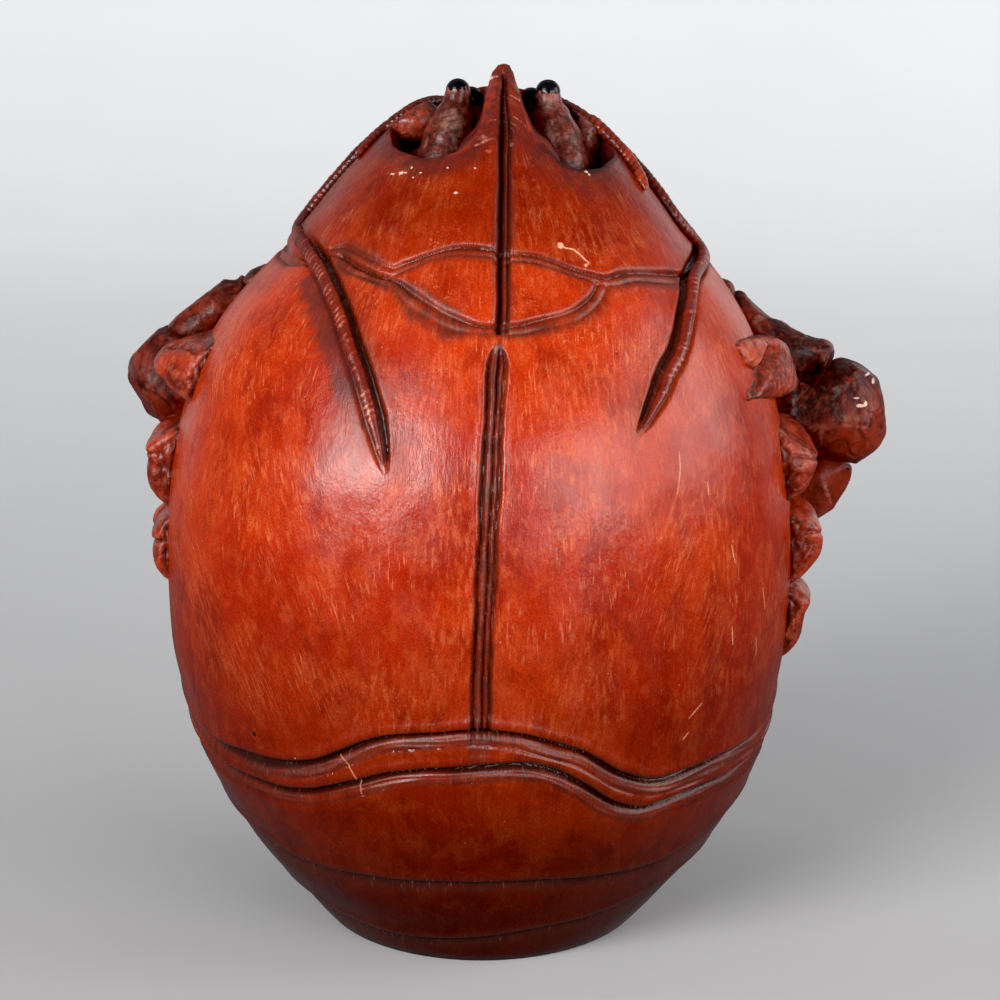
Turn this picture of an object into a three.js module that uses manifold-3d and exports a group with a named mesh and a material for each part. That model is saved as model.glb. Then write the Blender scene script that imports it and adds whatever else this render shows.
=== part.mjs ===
// Sitting lobster figurine, 306 mm tall.
// Millimetres, +Z up. The lobster's back faces -Y, its belly +Y, its left side -X.
// Every limb, feeler and eye is a separately formed piece laid on a hollow body.

import * as THREE from 'three';
import { mergeVertices } from 'three/addons/utils/BufferGeometryUtils.js';
import Module from 'manifold-3d';

const wasm = await Module();
wasm.setup();

// ---------------------------------------------------------------- dimensions

// Body outline by height: z, half width, rear depth (-Y), front depth (+Y), centre shift in X.
const BODY = [
  [0, 58.3, -66.8, 56, 0.9], [3, 61.3, -69.5, 59.5, 0.9], [7, 65.1, -72.1, 63, 1], [14, 71.1, -76.6, 68, 1.1],
  [24, 80.3, -83, 75.5, 1.2], [36, 89, -89, 83, 1.3], [50, 97.2, -95.5, 90, 1.2], [66, 103.7, -101, 96, 0.7],
  [84, 107.9, -104.5, 100, 0.1], [104, 111.3, -106, 102, 0], [126, 112.1, -106, 102, 0],
  [150, 111.3, -104.5, 100.5, 0], [175, 108.1, -100.5, 96.5, 0.2], [198, 101.9, -94, 90, 0.6],
  [215, 94.1, -86.5, 82.5, 1.4], [228, 85.2, -78.5, 75.5, 2.6], [240, 75, -69.5, 69, 3.8],
  [251, 66, -60.5, 63.5, 4.4], [262, 57.5, -50.5, 57.5, 4.6], [273, 47.5, -39, 49.5, 4.6],
  [283, 36.5, -26.5, 40, 4.6], [291, 25, -14.5, 29.5, 4.6], [296.5, 12.5, -4, 17.5, 4.6],
  [298.5, 0, 5, 5, 4.6],
];
const NECK_Z = 240;            // groove behind the head
const CROWN_Z = 298.5;         // top of the head form under the rostrum
const CROWN_Y = 5;             // the crown leans forward by this much
const ROUND = 40;              // facets round the body
const ROWS = [0, 3, 8, 16, 28, 44, 64, 88, 116, 145, 172, 196, 214, 228, 240, 252, 264, 275, 285, 292, 296.5, 298.5];  // facet rows
const WALL = 6;                // shell thickness
const FLOOR = 8;               // thickness of the foot
const CAVITY = [               // hollow inside: z, share of the inset section
  [FLOOR, 1], [20, 1], [40, 1], [66, 1], [104, 1], [150, 1], [190, 1], [215, 1], [230, 0.98],
  [240, 0.86], [248, 0.62], [252, 0],
];
const VENT_R = 18;             // drain hole in the foot
const GAP = 0.3;               // clearance between bonded pieces

// Eye hollows: centre and half sizes.
const SOCKET_L = { c: [-13, -2.5, 289.8], r: [19, 29.5, 25.3] };
const SOCKET_R = { c: [32.5, -5.5, 290.8], r: [18.5, 30.5, 25.4] };

// Rostrum spike: axis points and half width / half thickness.
const ROSTRUM = { p: [[9, -27, 272], [9.2, -17, 286], [8.7, -6, 297], [8.3, 2, 306]], r: [[9.5, 6], [7, 6], [5, 4.5], [1.6, 1.6]] };

// Eyes.
const EYE_L = [-7.3, 5, 296.6], EYE_R = [24.2, 5, 296.2], EYE_RADIUS = 4.3;
const INNER_L = [-3.2, 11, 292.6], INNER_R = [18.6, 11, 292.4], INNER_RADIUS = 4.6;
const STALK_L = { p: [[-13, -6, 262], [-11, -2, 276], [-8.4, 3.5, 287], [-7.4, 5, 294.6]], r: [[7, 7], [7.6, 7.2], [7, 6.6], [4.6, 4.6]] };
const STALK_R = { p: [[31, -6, 262], [28.5, -2, 276], [25.2, 3.5, 287], [24.2, 5, 294.2]], r: [[7, 7], [8, 7.4], [8, 7], [4.6, 4.6]] };

// Antennae: angle round the body (0 = back, + to the lobster's right), height. Radius from base to tip.
const ANTENNA_L = [[-168, 286.5], [-150, 288.6], [-128, 289.6], [-110, 288.5], [-103, 284.5], [-100, 279.5], [-98, 274.5], [-97, 269], [-96, 262.6], [-95, 256.5],
  [-93, 252], [-86, 249.2], [-77, 248.4], [-67, 246.8], [-58.4, 244.4], [-50.4, 241.2], [-41.2, 235], [-34.5, 228.5],
  [-29, 220.4], [-25.5, 214.2], [-22, 205.3], [-19.5, 196.5], [-17.7, 188.5], [-17.1, 185.6]];
const ANTENNA_R = [[168, 286.5], [150, 288.6], [126, 289.6], [109, 288], [102.5, 284.5], [100, 280.5], [98.5, 277], [97, 272.5], [94.5, 267.7], [89, 263.5],
  [86, 258], [85, 252.4], [87, 247], [89.5, 243.4], [85, 240.8], [77.3, 239.4], [69.9, 238.4], [63.2, 236.2], [57, 231.2],
  [52.2, 226.2], [48.5, 221.1], [44.3, 215.3], [40.8, 211.2], [37.9, 206], [35.1, 201.3], [33, 197.5], [31.5, 195.1]];
const ANTENNA_RADIUS = [3.1, 1.9];
const ANTENNULE_L = [[-106, 283], [-99, 281], [-93.5, 278.5], [-88.5, 275.8], [-84, 273.2]];
const ANTENNULE_R = [[106, 284.6], [97, 282.3], [91, 279], [86.5, 275], [81.5, 271.2], [76, 267.4], [71.5, 264]];
const ANTENNULE_RADIUS = [2.2, 1.6];
const ANTENNA_BASE_L = { c: [-25, 12, 281.5], r: [8, 9, 9.5] };
const ANTENNA_BASE_R = { c: [43, 12, 281], r: [7.5, 9, 9.5] };

// Claw arms: first segment, upper arm, elbow.
const SHOULDER_L = { c: [-80, 24, 228], r: [10, 12, 8] };
const SHOULDER_R = { c: [83.5, 24, 226], r: [13, 12, 8] };
const UPPER_ARM_L = { p: [[-79, 27, 218], [-90, 27, 210], [-102, 27, 201.5], [-110, 27, 195]], r: [[9.5, 11], [11, 12], [11.5, 12], [10, 11]] };
const UPPER_ARM_R = { p: [[87, 27, 217], [100, 26.5, 206], [113.5, 26, 197], [124, 26, 191]], r: [[9.5, 11], [11, 12], [11.5, 12], [10, 11]] };
const ELBOW_L = { c: [-113, 33, 188.5], r: [15.5, 14.5, 19] };
const ELBOW_R = { c: [131, 32, 175.8], r: [16.5, 15, 19.5] };

// Claws, laid on the belly: angle, height, lift off the surface; half width, half thickness.
const PALM_L = { p: [[-117, 172, 13], [-127, 155, 14], [-140, 133, 14], [-151, 116, 12]], r: [[11, 10], [16, 13], [19, 13], [16, 10]] };
const PALM_R = { p: [[108, 160, 23], [114, 147, 20], [125, 134, 16], [140, 120, 14], [151, 106, 12]], r: [[12, 11], [15, 13], [17, 13], [19, 13], [16, 10]] };
const CLAW_SLOPE = 0.785;      // claws point down and in at this angle
const FIXED_FINGER = { p: [[-8, -7, 12], [12, -11, 12], [28, -8.5, 9.5], [41, -2.5, 7]], r: [[9, 8], [7.5, 7], [5.5, 5.5], [2, 2.2]] };
const FREE_FINGER = { p: [[-4, 9, 12], [14, 12.5, 12], [30, 10, 9.5], [43, 4, 7]], r: [[8, 7.5], [7.5, 7], [5.5, 5.5], [2, 2.2]] };

// Walking legs: knee angle, knee height, limb radius, reach round the body, lift off the surface.
const LEGS_L = [[-92, 203.5, 7.4, 30, 6], [-95, 166.5, 6.6, 36, 4.6], [-94.5, 137, 5.8, 34, 1.6], [-113, 110, 5.2, 20, 1.6]];
const LEGS_R = [[80, 199, 7.4, 34, 3.6], [92, 166.5, 6.6, 36, 4.6], [93.5, 138, 6.6, 34, 4.6], [92, 109.5, 5.6, 34, 1.8]];

// Tail fan on the front of the foot: root and end angle from the front centre, heights, half width.
const TELSON = { a: [0, 0], z: [9, 62], w: 17, lift: 4.6 };
const UROPOD_INNER = { a: [15, 24], z: [9, 58], w: 17, lift: 2.9 };
const UROPOD_OUTER = { a: [31, 45], z: [9, 50], w: 17, lift: 1.2 };
const FAN_THICK = 3.2;

// Mouth parts: angle from the front centre and height.
const MAXILLIPED = [[7, 262], [9, 250], [8, 238], [5.5, 226]];

// ------------------------------------------------------------------ curves

function monotone(xs, ys) {
  const n = xs.length, h = [], s = [], d = new Array(n).fill(0);
  for (let i = 0; i < n - 1; i++) { h.push(xs[i + 1] - xs[i]); s.push((ys[i + 1] - ys[i]) / h[i]); }
  for (let i = 1; i < n - 1; i++) {
    if (s[i - 1] * s[i] > 0) {
      const a = 2 * h[i] + h[i - 1], b = h[i] + 2 * h[i - 1];
      d[i] = (a + b) / (a / s[i - 1] + b / s[i]);
    }
  }
  d[0] = s[0]; d[n - 1] = s[n - 2];
  return (q) => {
    const v = Math.min(Math.max(q, xs[0]), xs[n - 1]);
    let i = 0;
    while (i < n - 2 && v >= xs[i + 1]) i++;
    const t = (v - xs[i]) / h[i], t2 = t * t, t3 = t2 * t;
    return (2 * t3 - 3 * t2 + 1) * ys[i] + (t3 - 2 * t2 + t) * h[i] * d[i]
      + (3 * t2 - 2 * t3) * ys[i + 1] + (t3 - t2) * h[i] * d[i + 1];
  };
}
const column = (k) => monotone(BODY.map((r) => r[0]), BODY.map((r) => r[k]));
const halfWidth = column(1), rear = column(2), front = column(3), shiftX = column(4);

// Point of the body surface; the angle is in radians, 0 at the back.
function bodyPoint(z, a) {
  const yc = z > NECK_Z ? (z - NECK_Z) / (CROWN_Z - NECK_Z) * CROWN_Y : 0;
  const c = Math.cos(a);
  const y = c > 0 ? yc + (rear(z) - yc) * c : yc - (front(z) - yc) * c;
  return new THREE.Vector3(shiftX(z) + halfWidth(z) * Math.sin(a), y, z);
}
function bodyNormal(z, a) {
  const zz = Math.min(Math.max(z, 0.5), CROWN_Z - 1.5);
  const da = bodyPoint(zz, a + 0.01).sub(bodyPoint(zz, a - 0.01));
  const dz = bodyPoint(zz + 0.5, a).sub(bodyPoint(zz - 0.5, a));
  return da.cross(dz).normalize();
}
const rad = (d) => d * Math.PI / 180;
function onBody(deg, z, lift) {
  const a = rad(deg);
  return { p: bodyPoint(z, a).addScaledVector(bodyNormal(z, a), lift), n: bodyNormal(z, a) };
}

// ------------------------------------------------------------------ solids

function solid(geometry) {
  const g = geometry.clone();
  g.deleteAttribute('normal');
  g.deleteAttribute('uv');
  const m = mergeVertices(g, 1e-4);
  const pos = m.attributes.position, tri = [];
  const src = m.index.array;
  const a = new THREE.Vector3(), b = new THREE.Vector3(), c = new THREE.Vector3();
  let volume = 0;
  for (let i = 0; i < src.length; i += 3) {
    if (src[i] === src[i + 1] || src[i + 1] === src[i + 2] || src[i] === src[i + 2]) continue;
    a.fromBufferAttribute(pos, src[i]); b.fromBufferAttribute(pos, src[i + 1]); c.fromBufferAttribute(pos, src[i + 2]);
    volume += a.dot(b.cross(c));
    tri.push(src[i], src[i + 1], src[i + 2]);
  }
  if (volume < 0) for (let i = 0; i < tri.length; i += 3) { const t = tri[i]; tri[i] = tri[i + 1]; tri[i + 1] = t; }
  return new wasm.Manifold(new wasm.Mesh({ numProp: 3, vertProperties: new Float32Array(pos.array), triVerts: new Uint32Array(tri) }));
}

// The whole body form as one closed solid, grown outwards by `grow`.
function bodySolid(grow) {
  const profile = [new THREE.Vector2(0, 0)];
  for (const z of ROWS) profile.push(new THREE.Vector2(z === CROWN_Z ? 0 : 1, z));
  const g = new THREE.LatheGeometry(profile, ROUND);
  const pos = g.attributes.position;
  for (let i = 0; i < pos.count; i++) {
    const x = pos.getX(i), z = pos.getY(i), y = pos.getZ(i);
    const r = Math.hypot(x, y);
    if (r < 0.5) {
      const top = z > 1;
      pos.setXYZ(i, shiftX(z), top ? CROWN_Y : -4, top ? z + grow : -grow * 4);
      continue;
    }
    const a = Math.atan2(x, y);
    const p = bodyPoint(z, a).addScaledVector(bodyNormal(z, a), grow);
    pos.setXYZ(i, p.x, p.y, z === 0 ? -grow * 4 : p.z);
  }
  return solid(g);
}

// Hollow of the body, inset by the wall.
function cavitySolid() {
  const profile = [new THREE.Vector2(0, CAVITY[0][0])];
  for (const [z, k] of CAVITY) profile.push(new THREE.Vector2(k, z));
  const g = new THREE.LatheGeometry(profile, ROUND / 2);
  const pos = g.attributes.position;
  for (let i = 0; i < pos.count; i++) {
    const x = pos.getX(i), z = pos.getY(i), y = pos.getZ(i);
    const k = Math.hypot(x, y);
    if (k < 0.01) { pos.setXYZ(i, shiftX(z), 0, z); continue; }
    const a = Math.atan2(x, y);
    const p = bodyPoint(z, a), n = bodyNormal(z, a);
    const flat = Math.hypot(n.x, n.y);
    const px = p.x - n.x / flat * WALL / Math.max(flat, 0.6), py = p.y - n.y / flat * WALL / Math.max(flat, 0.6);
    pos.setXYZ(i, shiftX(z) + (px - shiftX(z)) * k, py * k, z);
  }
  return solid(g);
}

function ellipsoid({ c, r }, grow = 0, around = 14, rows = 9) {
  const g = new THREE.SphereGeometry(1, around, rows);
  g.scale(r[0] + grow, r[1] + grow, r[2] + grow);
  g.translate(c[0], c[1], c[2]);
  return solid(g);
}
const ball = (c, r, grow = 0, around = 10, rows = 7) => ellipsoid({ c, r: [r, r, r] }, grow, around, rows);

// Limb: a closed rod with rounded ends along points, with half width and half thickness at each point.
function limb(points, radii, normals, { around = 10, rings = 10, grow = 0, blunt = 0.42 } = {}) {
  const path = new THREE.CatmullRomCurve3(points);
  const up = new THREE.CatmullRomCurve3(normals);
  const g = new THREE.CylinderGeometry(1, 1, 1, around, rings, false);
  const pos = g.attributes.position, last = radii.length - 1;
  for (let i = 0; i < pos.count; i++) {
    const s = pos.getY(i) + 0.5;
    const t = Math.min(Math.max(s - 0.62 * Math.sin(2 * Math.PI * s) / (2 * Math.PI), 0), 1);
    const k = Math.min(Math.floor(t * last), last - 1), u = t * last - k;
    const e = Math.min(t, 1 - t) / 0.14;
    const end = e < 1 ? blunt + (1 - blunt) * Math.sqrt(1 - (1 - e) * (1 - e)) : 1;
    const ra = (radii[k][0] * (1 - u) + radii[k + 1][0] * u) * end + grow;
    const rb = (radii[k][1] * (1 - u) + radii[k + 1][1] * u) * end + grow;
    const c = path.getPoint(t), T = path.getTangent(t);
    if (grow && (t === 0 || t === 1)) c.addScaledVector(T, t === 0 ? -grow : grow);
    const n = up.getPoint(t);
    n.addScaledVector(T, -n.dot(T)).normalize();
    const b = new THREE.Vector3().crossVectors(T, n);
    c.addScaledVector(b, pos.getX(i) * ra).addScaledVector(n, pos.getZ(i) * rb);
    pos.setXYZ(i, c.x, c.y, c.z);
  }
  return solid(g);
}
const vec = (p) => new THREE.Vector3(p[0], p[1], p[2]);
const freeLimb = (spec, opt, up = [0, 1, 0]) => limb(spec.p.map(vec), spec.r, spec.p.map(() => vec(up)), opt);
function surfaceLimb(path, radii, opt) {
  const q = path.map(([deg, z, lift]) => onBody(deg, z, lift));
  return limb(q.map((v) => v.p), radii, q.map((v) => v.n), opt);
}
function largest(m) {
  const parts = m.decompose();
  return parts.reduce((a, b) => (b.volume() > a.volume() ? b : a));
}

// ------------------------------------------------------------------ pieces

const keepOut = bodySolid(GAP);
const offBody = (m) => largest(m.subtract(keepOut));

const rostrum = freeLimb(ROSTRUM, { around: 10, rings: 8, blunt: 0.6 }, [0, -1, 0.6]);
const vent = new THREE.CylinderGeometry(VENT_R, VENT_R, 30, 24);
vent.rotateX(Math.PI / 2);
const bodyShell = largest(bodySolid(0)
  .subtract(ellipsoid(SOCKET_L, 0, 20, 14)).subtract(ellipsoid(SOCKET_R, 0, 20, 14))
  .add(rostrum)
  .subtract(cavitySolid()).subtract(solid(vent)));

// Feelers.
function feeler(path, [r0, r1], lift, opt) {
  const n = path.length - 1;
  return surfaceLimb(path.map(([a, z], i) => [a, z, lift * (1 - 0.45 * i / n)]), path.map((_, i) => {
    const r = r0 + (r1 - r0) * Math.pow(i / n, 1.4);
    return [r, r];
  }), opt);
}
const ANT_OPT = { around: 7, rings: 40, blunt: 0.8 };
const rawAntennaL = feeler(ANTENNA_L, ANTENNA_RADIUS, 1.9, ANT_OPT), rawAntennaR = feeler(ANTENNA_R, ANTENNA_RADIUS, 1.9, ANT_OPT);
const antennaOutL = feeler(ANTENNA_L, ANTENNA_RADIUS, 1.9, { ...ANT_OPT, grow: GAP + 0.1 });
const antennaOutR = feeler(ANTENNA_R, ANTENNA_RADIUS, 1.9, { ...ANT_OPT, grow: GAP + 0.1 });
const antennaL = offBody(rawAntennaL), antennaR = offBody(rawAntennaR);
const NUL_OPT = { around: 7, rings: 9, blunt: 0.8 };
const antennuleL = offBody(feeler(ANTENNULE_L, ANTENNULE_RADIUS, 1.4, NUL_OPT).subtract(antennaOutL).subtract(ellipsoid(ANTENNA_BASE_L, GAP, 10, 7)));
const antennuleR = offBody(feeler(ANTENNULE_R, ANTENNULE_RADIUS, 1.4, NUL_OPT).subtract(antennaOutR).subtract(ellipsoid(ANTENNA_BASE_R, GAP, 10, 7)));

// Eye groups, each standing inside its hollow.
function eyes(socket, stalk, eye, inner, base, antennaOut) {
  const room = ellipsoid(socket, -GAP - 0.25, 20, 14).subtract(freeLimb(ROSTRUM, { around: 10, rings: 8, blunt: 0.6, grow: GAP }, [0, -1, 0.6]));
  const innerBead = largest(ball(inner, INNER_RADIUS).intersect(room));
  const lump = largest(ellipsoid(base, 0, 10, 7).intersect(room).subtract(antennaOut));
  const lumpOut = ellipsoid(base, GAP, 10, 7);
  const eyestalk = largest(freeLimb(stalk, { around: 10, rings: 7, blunt: 0.9 }).intersect(room)
    .subtract(ball(eye, EYE_RADIUS, GAP)).subtract(ball(inner, INNER_RADIUS, GAP)).subtract(lumpOut));
  return { innerBead, lump, eyestalk, bead: largest(ball(eye, EYE_RADIUS).subtract(ball(inner, INNER_RADIUS, GAP))) };
}
const eyesL = eyes(SOCKET_L, STALK_L, EYE_L, INNER_L, ANTENNA_BASE_L, antennaOutL);
const eyesR = eyes(SOCKET_R, STALK_R, EYE_R, INNER_R, ANTENNA_BASE_R, antennaOutR);

// Claw arms.
function clawPoints(spec, tip, side) {
  const cs = Math.cos(CLAW_SLOPE), sn = Math.sin(CLAW_SLOPE);
  const [a0, z0] = tip;
  return spec.p.map(([u, v, lift]) => {
    const z = z0 - sn * u + cs * v;
    const around = (cs * u + sn * v) / 106 * 180 / Math.PI;
    return [a0 + side * around, z, lift];
  });
}
function arm(side, shoulder, upper, elbow, palm, wristOut) {
  const tip = palm.p[palm.p.length - 1];
  const P = { around: 11, rings: 8 };
  const F = { around: 9, rings: 6, blunt: 0.6 };
  const grown = (f) => f(GAP + 0.05);
  const elbowAt = (g) => ellipsoid(elbow, g, 14, 10);
  const upperAt = (g) => freeLimb(upper, { around: 12, rings: 8, grow: g, blunt: 0.75 });
  const shoulderAt = (g) => ellipsoid(shoulder, g, 12, 8);
  const fingerAt = (g) => surfaceLimb(clawPoints(FREE_FINGER, tip, side), FREE_FINGER.r, { ...F, grow: g });
  const palmAt = (g) => surfaceLimb(palm.p, palm.r, { ...P, grow: g }).add(surfaceLimb(clawPoints(FIXED_FINGER, tip, side), FIXED_FINGER.r, { ...F, grow: g }));
  const out = grown(elbowAt);
  return {
    elbow: offBody(elbowAt(0)),
    upper: offBody(upperAt(0).subtract(out)),
    shoulder: offBody(shoulderAt(0).subtract(grown(upperAt)).subtract(out)),
    finger: offBody(fingerAt(0).subtract(out)),
    palm: offBody(palmAt(0).subtract(out).subtract(grown(upperAt)).subtract(grown(fingerAt))),
    keep: [out, grown(upperAt), grown(shoulderAt), grown(palmAt), grown(fingerAt)],
  };
}
const armL = arm(-1, SHOULDER_L, UPPER_ARM_L, ELBOW_L, PALM_L);
const armR = arm(1, SHOULDER_R, UPPER_ARM_R, ELBOW_R, PALM_R);

// Walking legs: upper and lower limb folded at the knee, lying on the flank.
function leg([knee, z, r, reach, L], keep, side, grow = 0) {
  const opt = { around: 8, rings: 5, grow, blunt: 0.7 };
  const up = surfaceLimb([[knee, z + 4, L], [knee + side * reach * 0.5, z + 7, L * 0.5 + 1.3], [knee + side * reach, z + 6, 1.6]],
    [[r, r], [r, r * 0.95], [r * 0.8, r * 0.8]], opt);
  const low = surfaceLimb([[knee, z - 4, L], [knee + side * reach * 0.5, z - 6.5, L * 0.5 + 1.3], [knee + side * reach, z - 8, 1.1]],
    [[r * 0.95, r], [r * 0.85, r * 0.85], [r * 0.5, r * 0.5]], opt);
  const [c] = [onBody(knee + side * 3, z, L - 0.5).p];
  const knuckle = ellipsoid({ c: [c.x, c.y, c.z], r: [r * 1.05, r * 1.15, r * 1.5] }, grow, 9, 6);
  let m = up.add(low).add(knuckle);
  if (grow) return m;
  for (const k of keep) m = m.subtract(k);
  return offBody(m);
}
const legsL = LEGS_L.map((s) => leg(s, armL.keep, -1));
const legsR = LEGS_R.map((s) => leg(s, armR.keep, 1));

// Tail fan, lapped blade over blade.
function blade({ a, z, w, lift }, side, grow = 0) {
  const pts = [], radii = [];
  for (let i = 0; i <= 4; i++) {
    const t = i / 4;
    pts.push([180 - side * (a[0] + (a[1] - a[0]) * t), z[0] + (z[1] - z[0]) * t, lift]);
    radii.push([w * (0.55 + 0.45 * Math.sin(Math.PI * (0.18 + 0.5 * t))), FAN_THICK]);
  }
  return surfaceLimb(pts, radii, { around: 10, rings: 6, grow, blunt: 0.62 });
}
const telson = offBody(blade(TELSON, 1));
const telsonOut = blade(TELSON, 1, GAP + 0.05);
function uropods(side) {
  const inner = blade(UROPOD_INNER, side), innerOut = blade(UROPOD_INNER, side, GAP + 0.05);
  return [offBody(inner.subtract(telsonOut)), offBody(blade(UROPOD_OUTER, side).subtract(innerOut).subtract(telsonOut))];
}
const fanL = uropods(-1), fanR = uropods(1);

const mouthPart = (side) => offBody(surfaceLimb(MAXILLIPED.map(([d, z]) => [180 - side * d, z, 2]), [[4.5, 4], [5, 4.5], [4.6, 4.2], [3, 3]], { around: 8, rings: 6 }));

// ------------------------------------------------------------------ assembly

const RED = { color: 0xc23a1a, roughness: 0.45, metalness: 0 };
const DARK_RED = { color: 0x7a2417, roughness: 0.5, metalness: 0 };
const BROWN_RED = { color: 0x8a2c1a, roughness: 0.5, metalness: 0 };
const BLACK = { color: 0x0b0a0a, roughness: 0.12, metalness: 0 };

const figurine = new THREE.Group();
function place(name, m, look) {
  const mesh = m.getMesh();
  const g = new THREE.BufferGeometry();
  g.setAttribute('position', new THREE.BufferAttribute(new Float32Array(mesh.vertProperties), 3));
  g.setIndex(new THREE.BufferAttribute(new Uint32Array(mesh.triVerts), 1));
  g.computeVertexNormals();
  const node = new THREE.Mesh(g, new THREE.MeshStandardMaterial(look));
  node.name = name;
  figurine.add(node);
}
place('body_shell', bodyShell, RED);
for (const [side, e, antenna, antennule] of [['left', eyesL, antennaL, antennuleL], ['right', eyesR, antennaR, antennuleR]]) {
  place(`eyestalk_${side}`, e.eyestalk, DARK_RED);
  place(`eye_bead_${side}`, e.bead, BLACK);
  place(`inner_bead_${side}`, e.innerBead, BLACK);
  place(`antenna_base_${side}`, e.lump, DARK_RED);
  place(`antenna_${side}`, antenna, BROWN_RED);
  place(`antennule_${side}`, antennule, BROWN_RED);
}
for (const [side, a] of [['left', armL], ['right', armR]]) {
  place(`shoulder_${side}`, a.shoulder, DARK_RED);
  place(`upper_arm_${side}`, a.upper, DARK_RED);
  place(`elbow_${side}`, a.elbow, DARK_RED);
  place(`claw_palm_${side}`, a.palm, DARK_RED);
  place(`claw_finger_${side}`, a.finger, DARK_RED);
}
legsL.forEach((m, i) => place(`leg_${i + 1}_left`, m, RED));
legsR.forEach((m, i) => place(`leg_${i + 1}_right`, m, RED));
place('telson', telson, DARK_RED);
place('uropod_inner_left', fanL[0], DARK_RED);
place('uropod_outer_left', fanL[1], DARK_RED);
place('uropod_inner_right', fanR[0], DARK_RED);
place('uropod_outer_right', fanR[1], DARK_RED);
place('maxilliped_left', mouthPart(-1), DARK_RED);
place('maxilliped_right', mouthPart(1), DARK_RED);

// The origin is the middle of the outline, on the plane of the foot.
const box = new THREE.Box3().setFromObject(figurine);
figurine.position.set(-(box.min.x + box.max.x) / 2, -(box.min.y + box.max.y) / 2, -box.min.z);
figurine.updateMatrixWorld(true);

export default figurine;
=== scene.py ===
import math
import bpy
import bmesh
import numpy as np
from mathutils import Vector, Matrix, Euler, noise, kdtree


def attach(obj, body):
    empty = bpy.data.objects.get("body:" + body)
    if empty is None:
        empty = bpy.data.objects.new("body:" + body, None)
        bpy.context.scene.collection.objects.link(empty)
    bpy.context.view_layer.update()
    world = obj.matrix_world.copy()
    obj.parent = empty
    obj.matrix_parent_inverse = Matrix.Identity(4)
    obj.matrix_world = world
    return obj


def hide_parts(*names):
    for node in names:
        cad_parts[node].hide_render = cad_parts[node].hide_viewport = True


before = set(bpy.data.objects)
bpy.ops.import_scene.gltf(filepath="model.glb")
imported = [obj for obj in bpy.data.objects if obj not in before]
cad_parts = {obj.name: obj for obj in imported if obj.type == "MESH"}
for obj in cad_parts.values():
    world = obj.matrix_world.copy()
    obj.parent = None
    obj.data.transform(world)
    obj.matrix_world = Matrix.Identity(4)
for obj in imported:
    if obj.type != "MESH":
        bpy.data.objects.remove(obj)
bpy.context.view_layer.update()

# ---------------------------------------------------------------------------
# Frame: shapes below are worked out in millimetres with the body's own centre
# at X = Y = 0, then moved to the shared frame, in metres.
SHIFT = np.array([9.5, 4.403, 0.0])


def to_m(p):
    return (np.asarray(p, float) - SHIFT) / 1000.0


# ---------------------------------------------------------------------------
# Body form, as in the construction model.
BODY = np.array([
    (0, 58.3, -66.8, 56, 0.9), (3, 61.3, -69.5, 59.5, 0.9), (7, 65.1, -72.1, 63, 1), (14, 71.1, -76.6, 68, 1.1),
    (24, 80.3, -83, 75.5, 1.2), (36, 89, -89, 83, 1.3), (50, 97.2, -95.5, 90, 1.2), (66, 103.7, -101, 96, 0.7),
    (84, 107.9, -104.5, 100, 0.1), (104, 111.3, -106, 102, 0), (126, 112.1, -106, 102, 0),
    (150, 111.3, -104.5, 100.5, 0), (175, 108.1, -100.5, 96.5, 0.2), (198, 101.9, -94, 90, 0.6),
    (215, 94.1, -86.5, 82.5, 1.4), (228, 85.2, -78.5, 75.5, 2.6), (240, 75, -69.5, 69, 3.8),
    (251, 66, -60.5, 63.5, 4.4), (262, 57.5, -50.5, 57.5, 4.6), (273, 47.5, -39, 49.5, 4.6),
    (283, 36.5, -26.5, 40, 4.6), (291, 25, -14.5, 29.5, 4.6), (296.5, 12.5, -4, 17.5, 4.6),
    (298.5, 0, 5, 5, 4.6)], float)
NECK_Z, CROWN_Z, CROWN_Y = 240.0, 298.5, 5.0


def monotone(x, y):
    h = np.diff(x)
    s = np.diff(y) / h
    n = len(x)
    d = np.zeros(n)
    for i in range(1, n - 1):
        if s[i - 1] * s[i] > 0:
            a, b = 2 * h[i] + h[i - 1], h[i] + 2 * h[i - 1]
            d[i] = (a + b) / (a / s[i - 1] + b / s[i])
    d[0], d[-1] = s[0], s[-1]

    def f(q):
        q = np.clip(np.asarray(q, float), x[0], x[-1])
        i = np.clip(np.searchsorted(x, q, side="right") - 1, 0, n - 2)
        t = (q - x[i]) / h[i]
        t2, t3 = t * t, t * t * t
        return ((2 * t3 - 3 * t2 + 1) * y[i] + (t3 - 2 * t2 + t) * h[i] * d[i]
                + (3 * t2 - 2 * t3) * y[i + 1] + (t3 - t2) * h[i] * d[i + 1])
    return f


F_W, F_B, F_F, F_C = (monotone(BODY[:, 0], BODY[:, k]) for k in (1, 2, 3, 4))


def body_point(z, a):
    """Point of the body's surface; a in radians, 0 at the back, + towards +X."""
    z, a = np.broadcast_arrays(np.asarray(z, float), np.asarray(a, float))
    yc = np.where(z > NECK_Z, (z - NECK_Z) / (CROWN_Z - NECK_Z) * CROWN_Y, 0.0)
    c = np.cos(a)
    y = np.where(c > 0, yc + (F_B(z) - yc) * c, yc - (F_F(z) - yc) * c)
    return np.stack([F_C(z) + F_W(z) * np.sin(a), y, z], -1)


def body_normal(z, a):
    z = np.clip(np.asarray(z, float), 0.6, CROWN_Z - 0.8)
    da = body_point(z, a + 0.01) - body_point(z, a - 0.01)
    dz = body_point(z + 0.5, a) - body_point(z - 0.5, a)
    n = np.cross(da, dz)
    return n / np.maximum(np.linalg.norm(n, axis=-1, keepdims=True), 1e-9)


def on_body(deg, z, lift=0.0):
    a = np.radians(deg)
    return body_point(z, a) + body_normal(z, a) * np.asarray(lift, float)[..., None]


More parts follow.
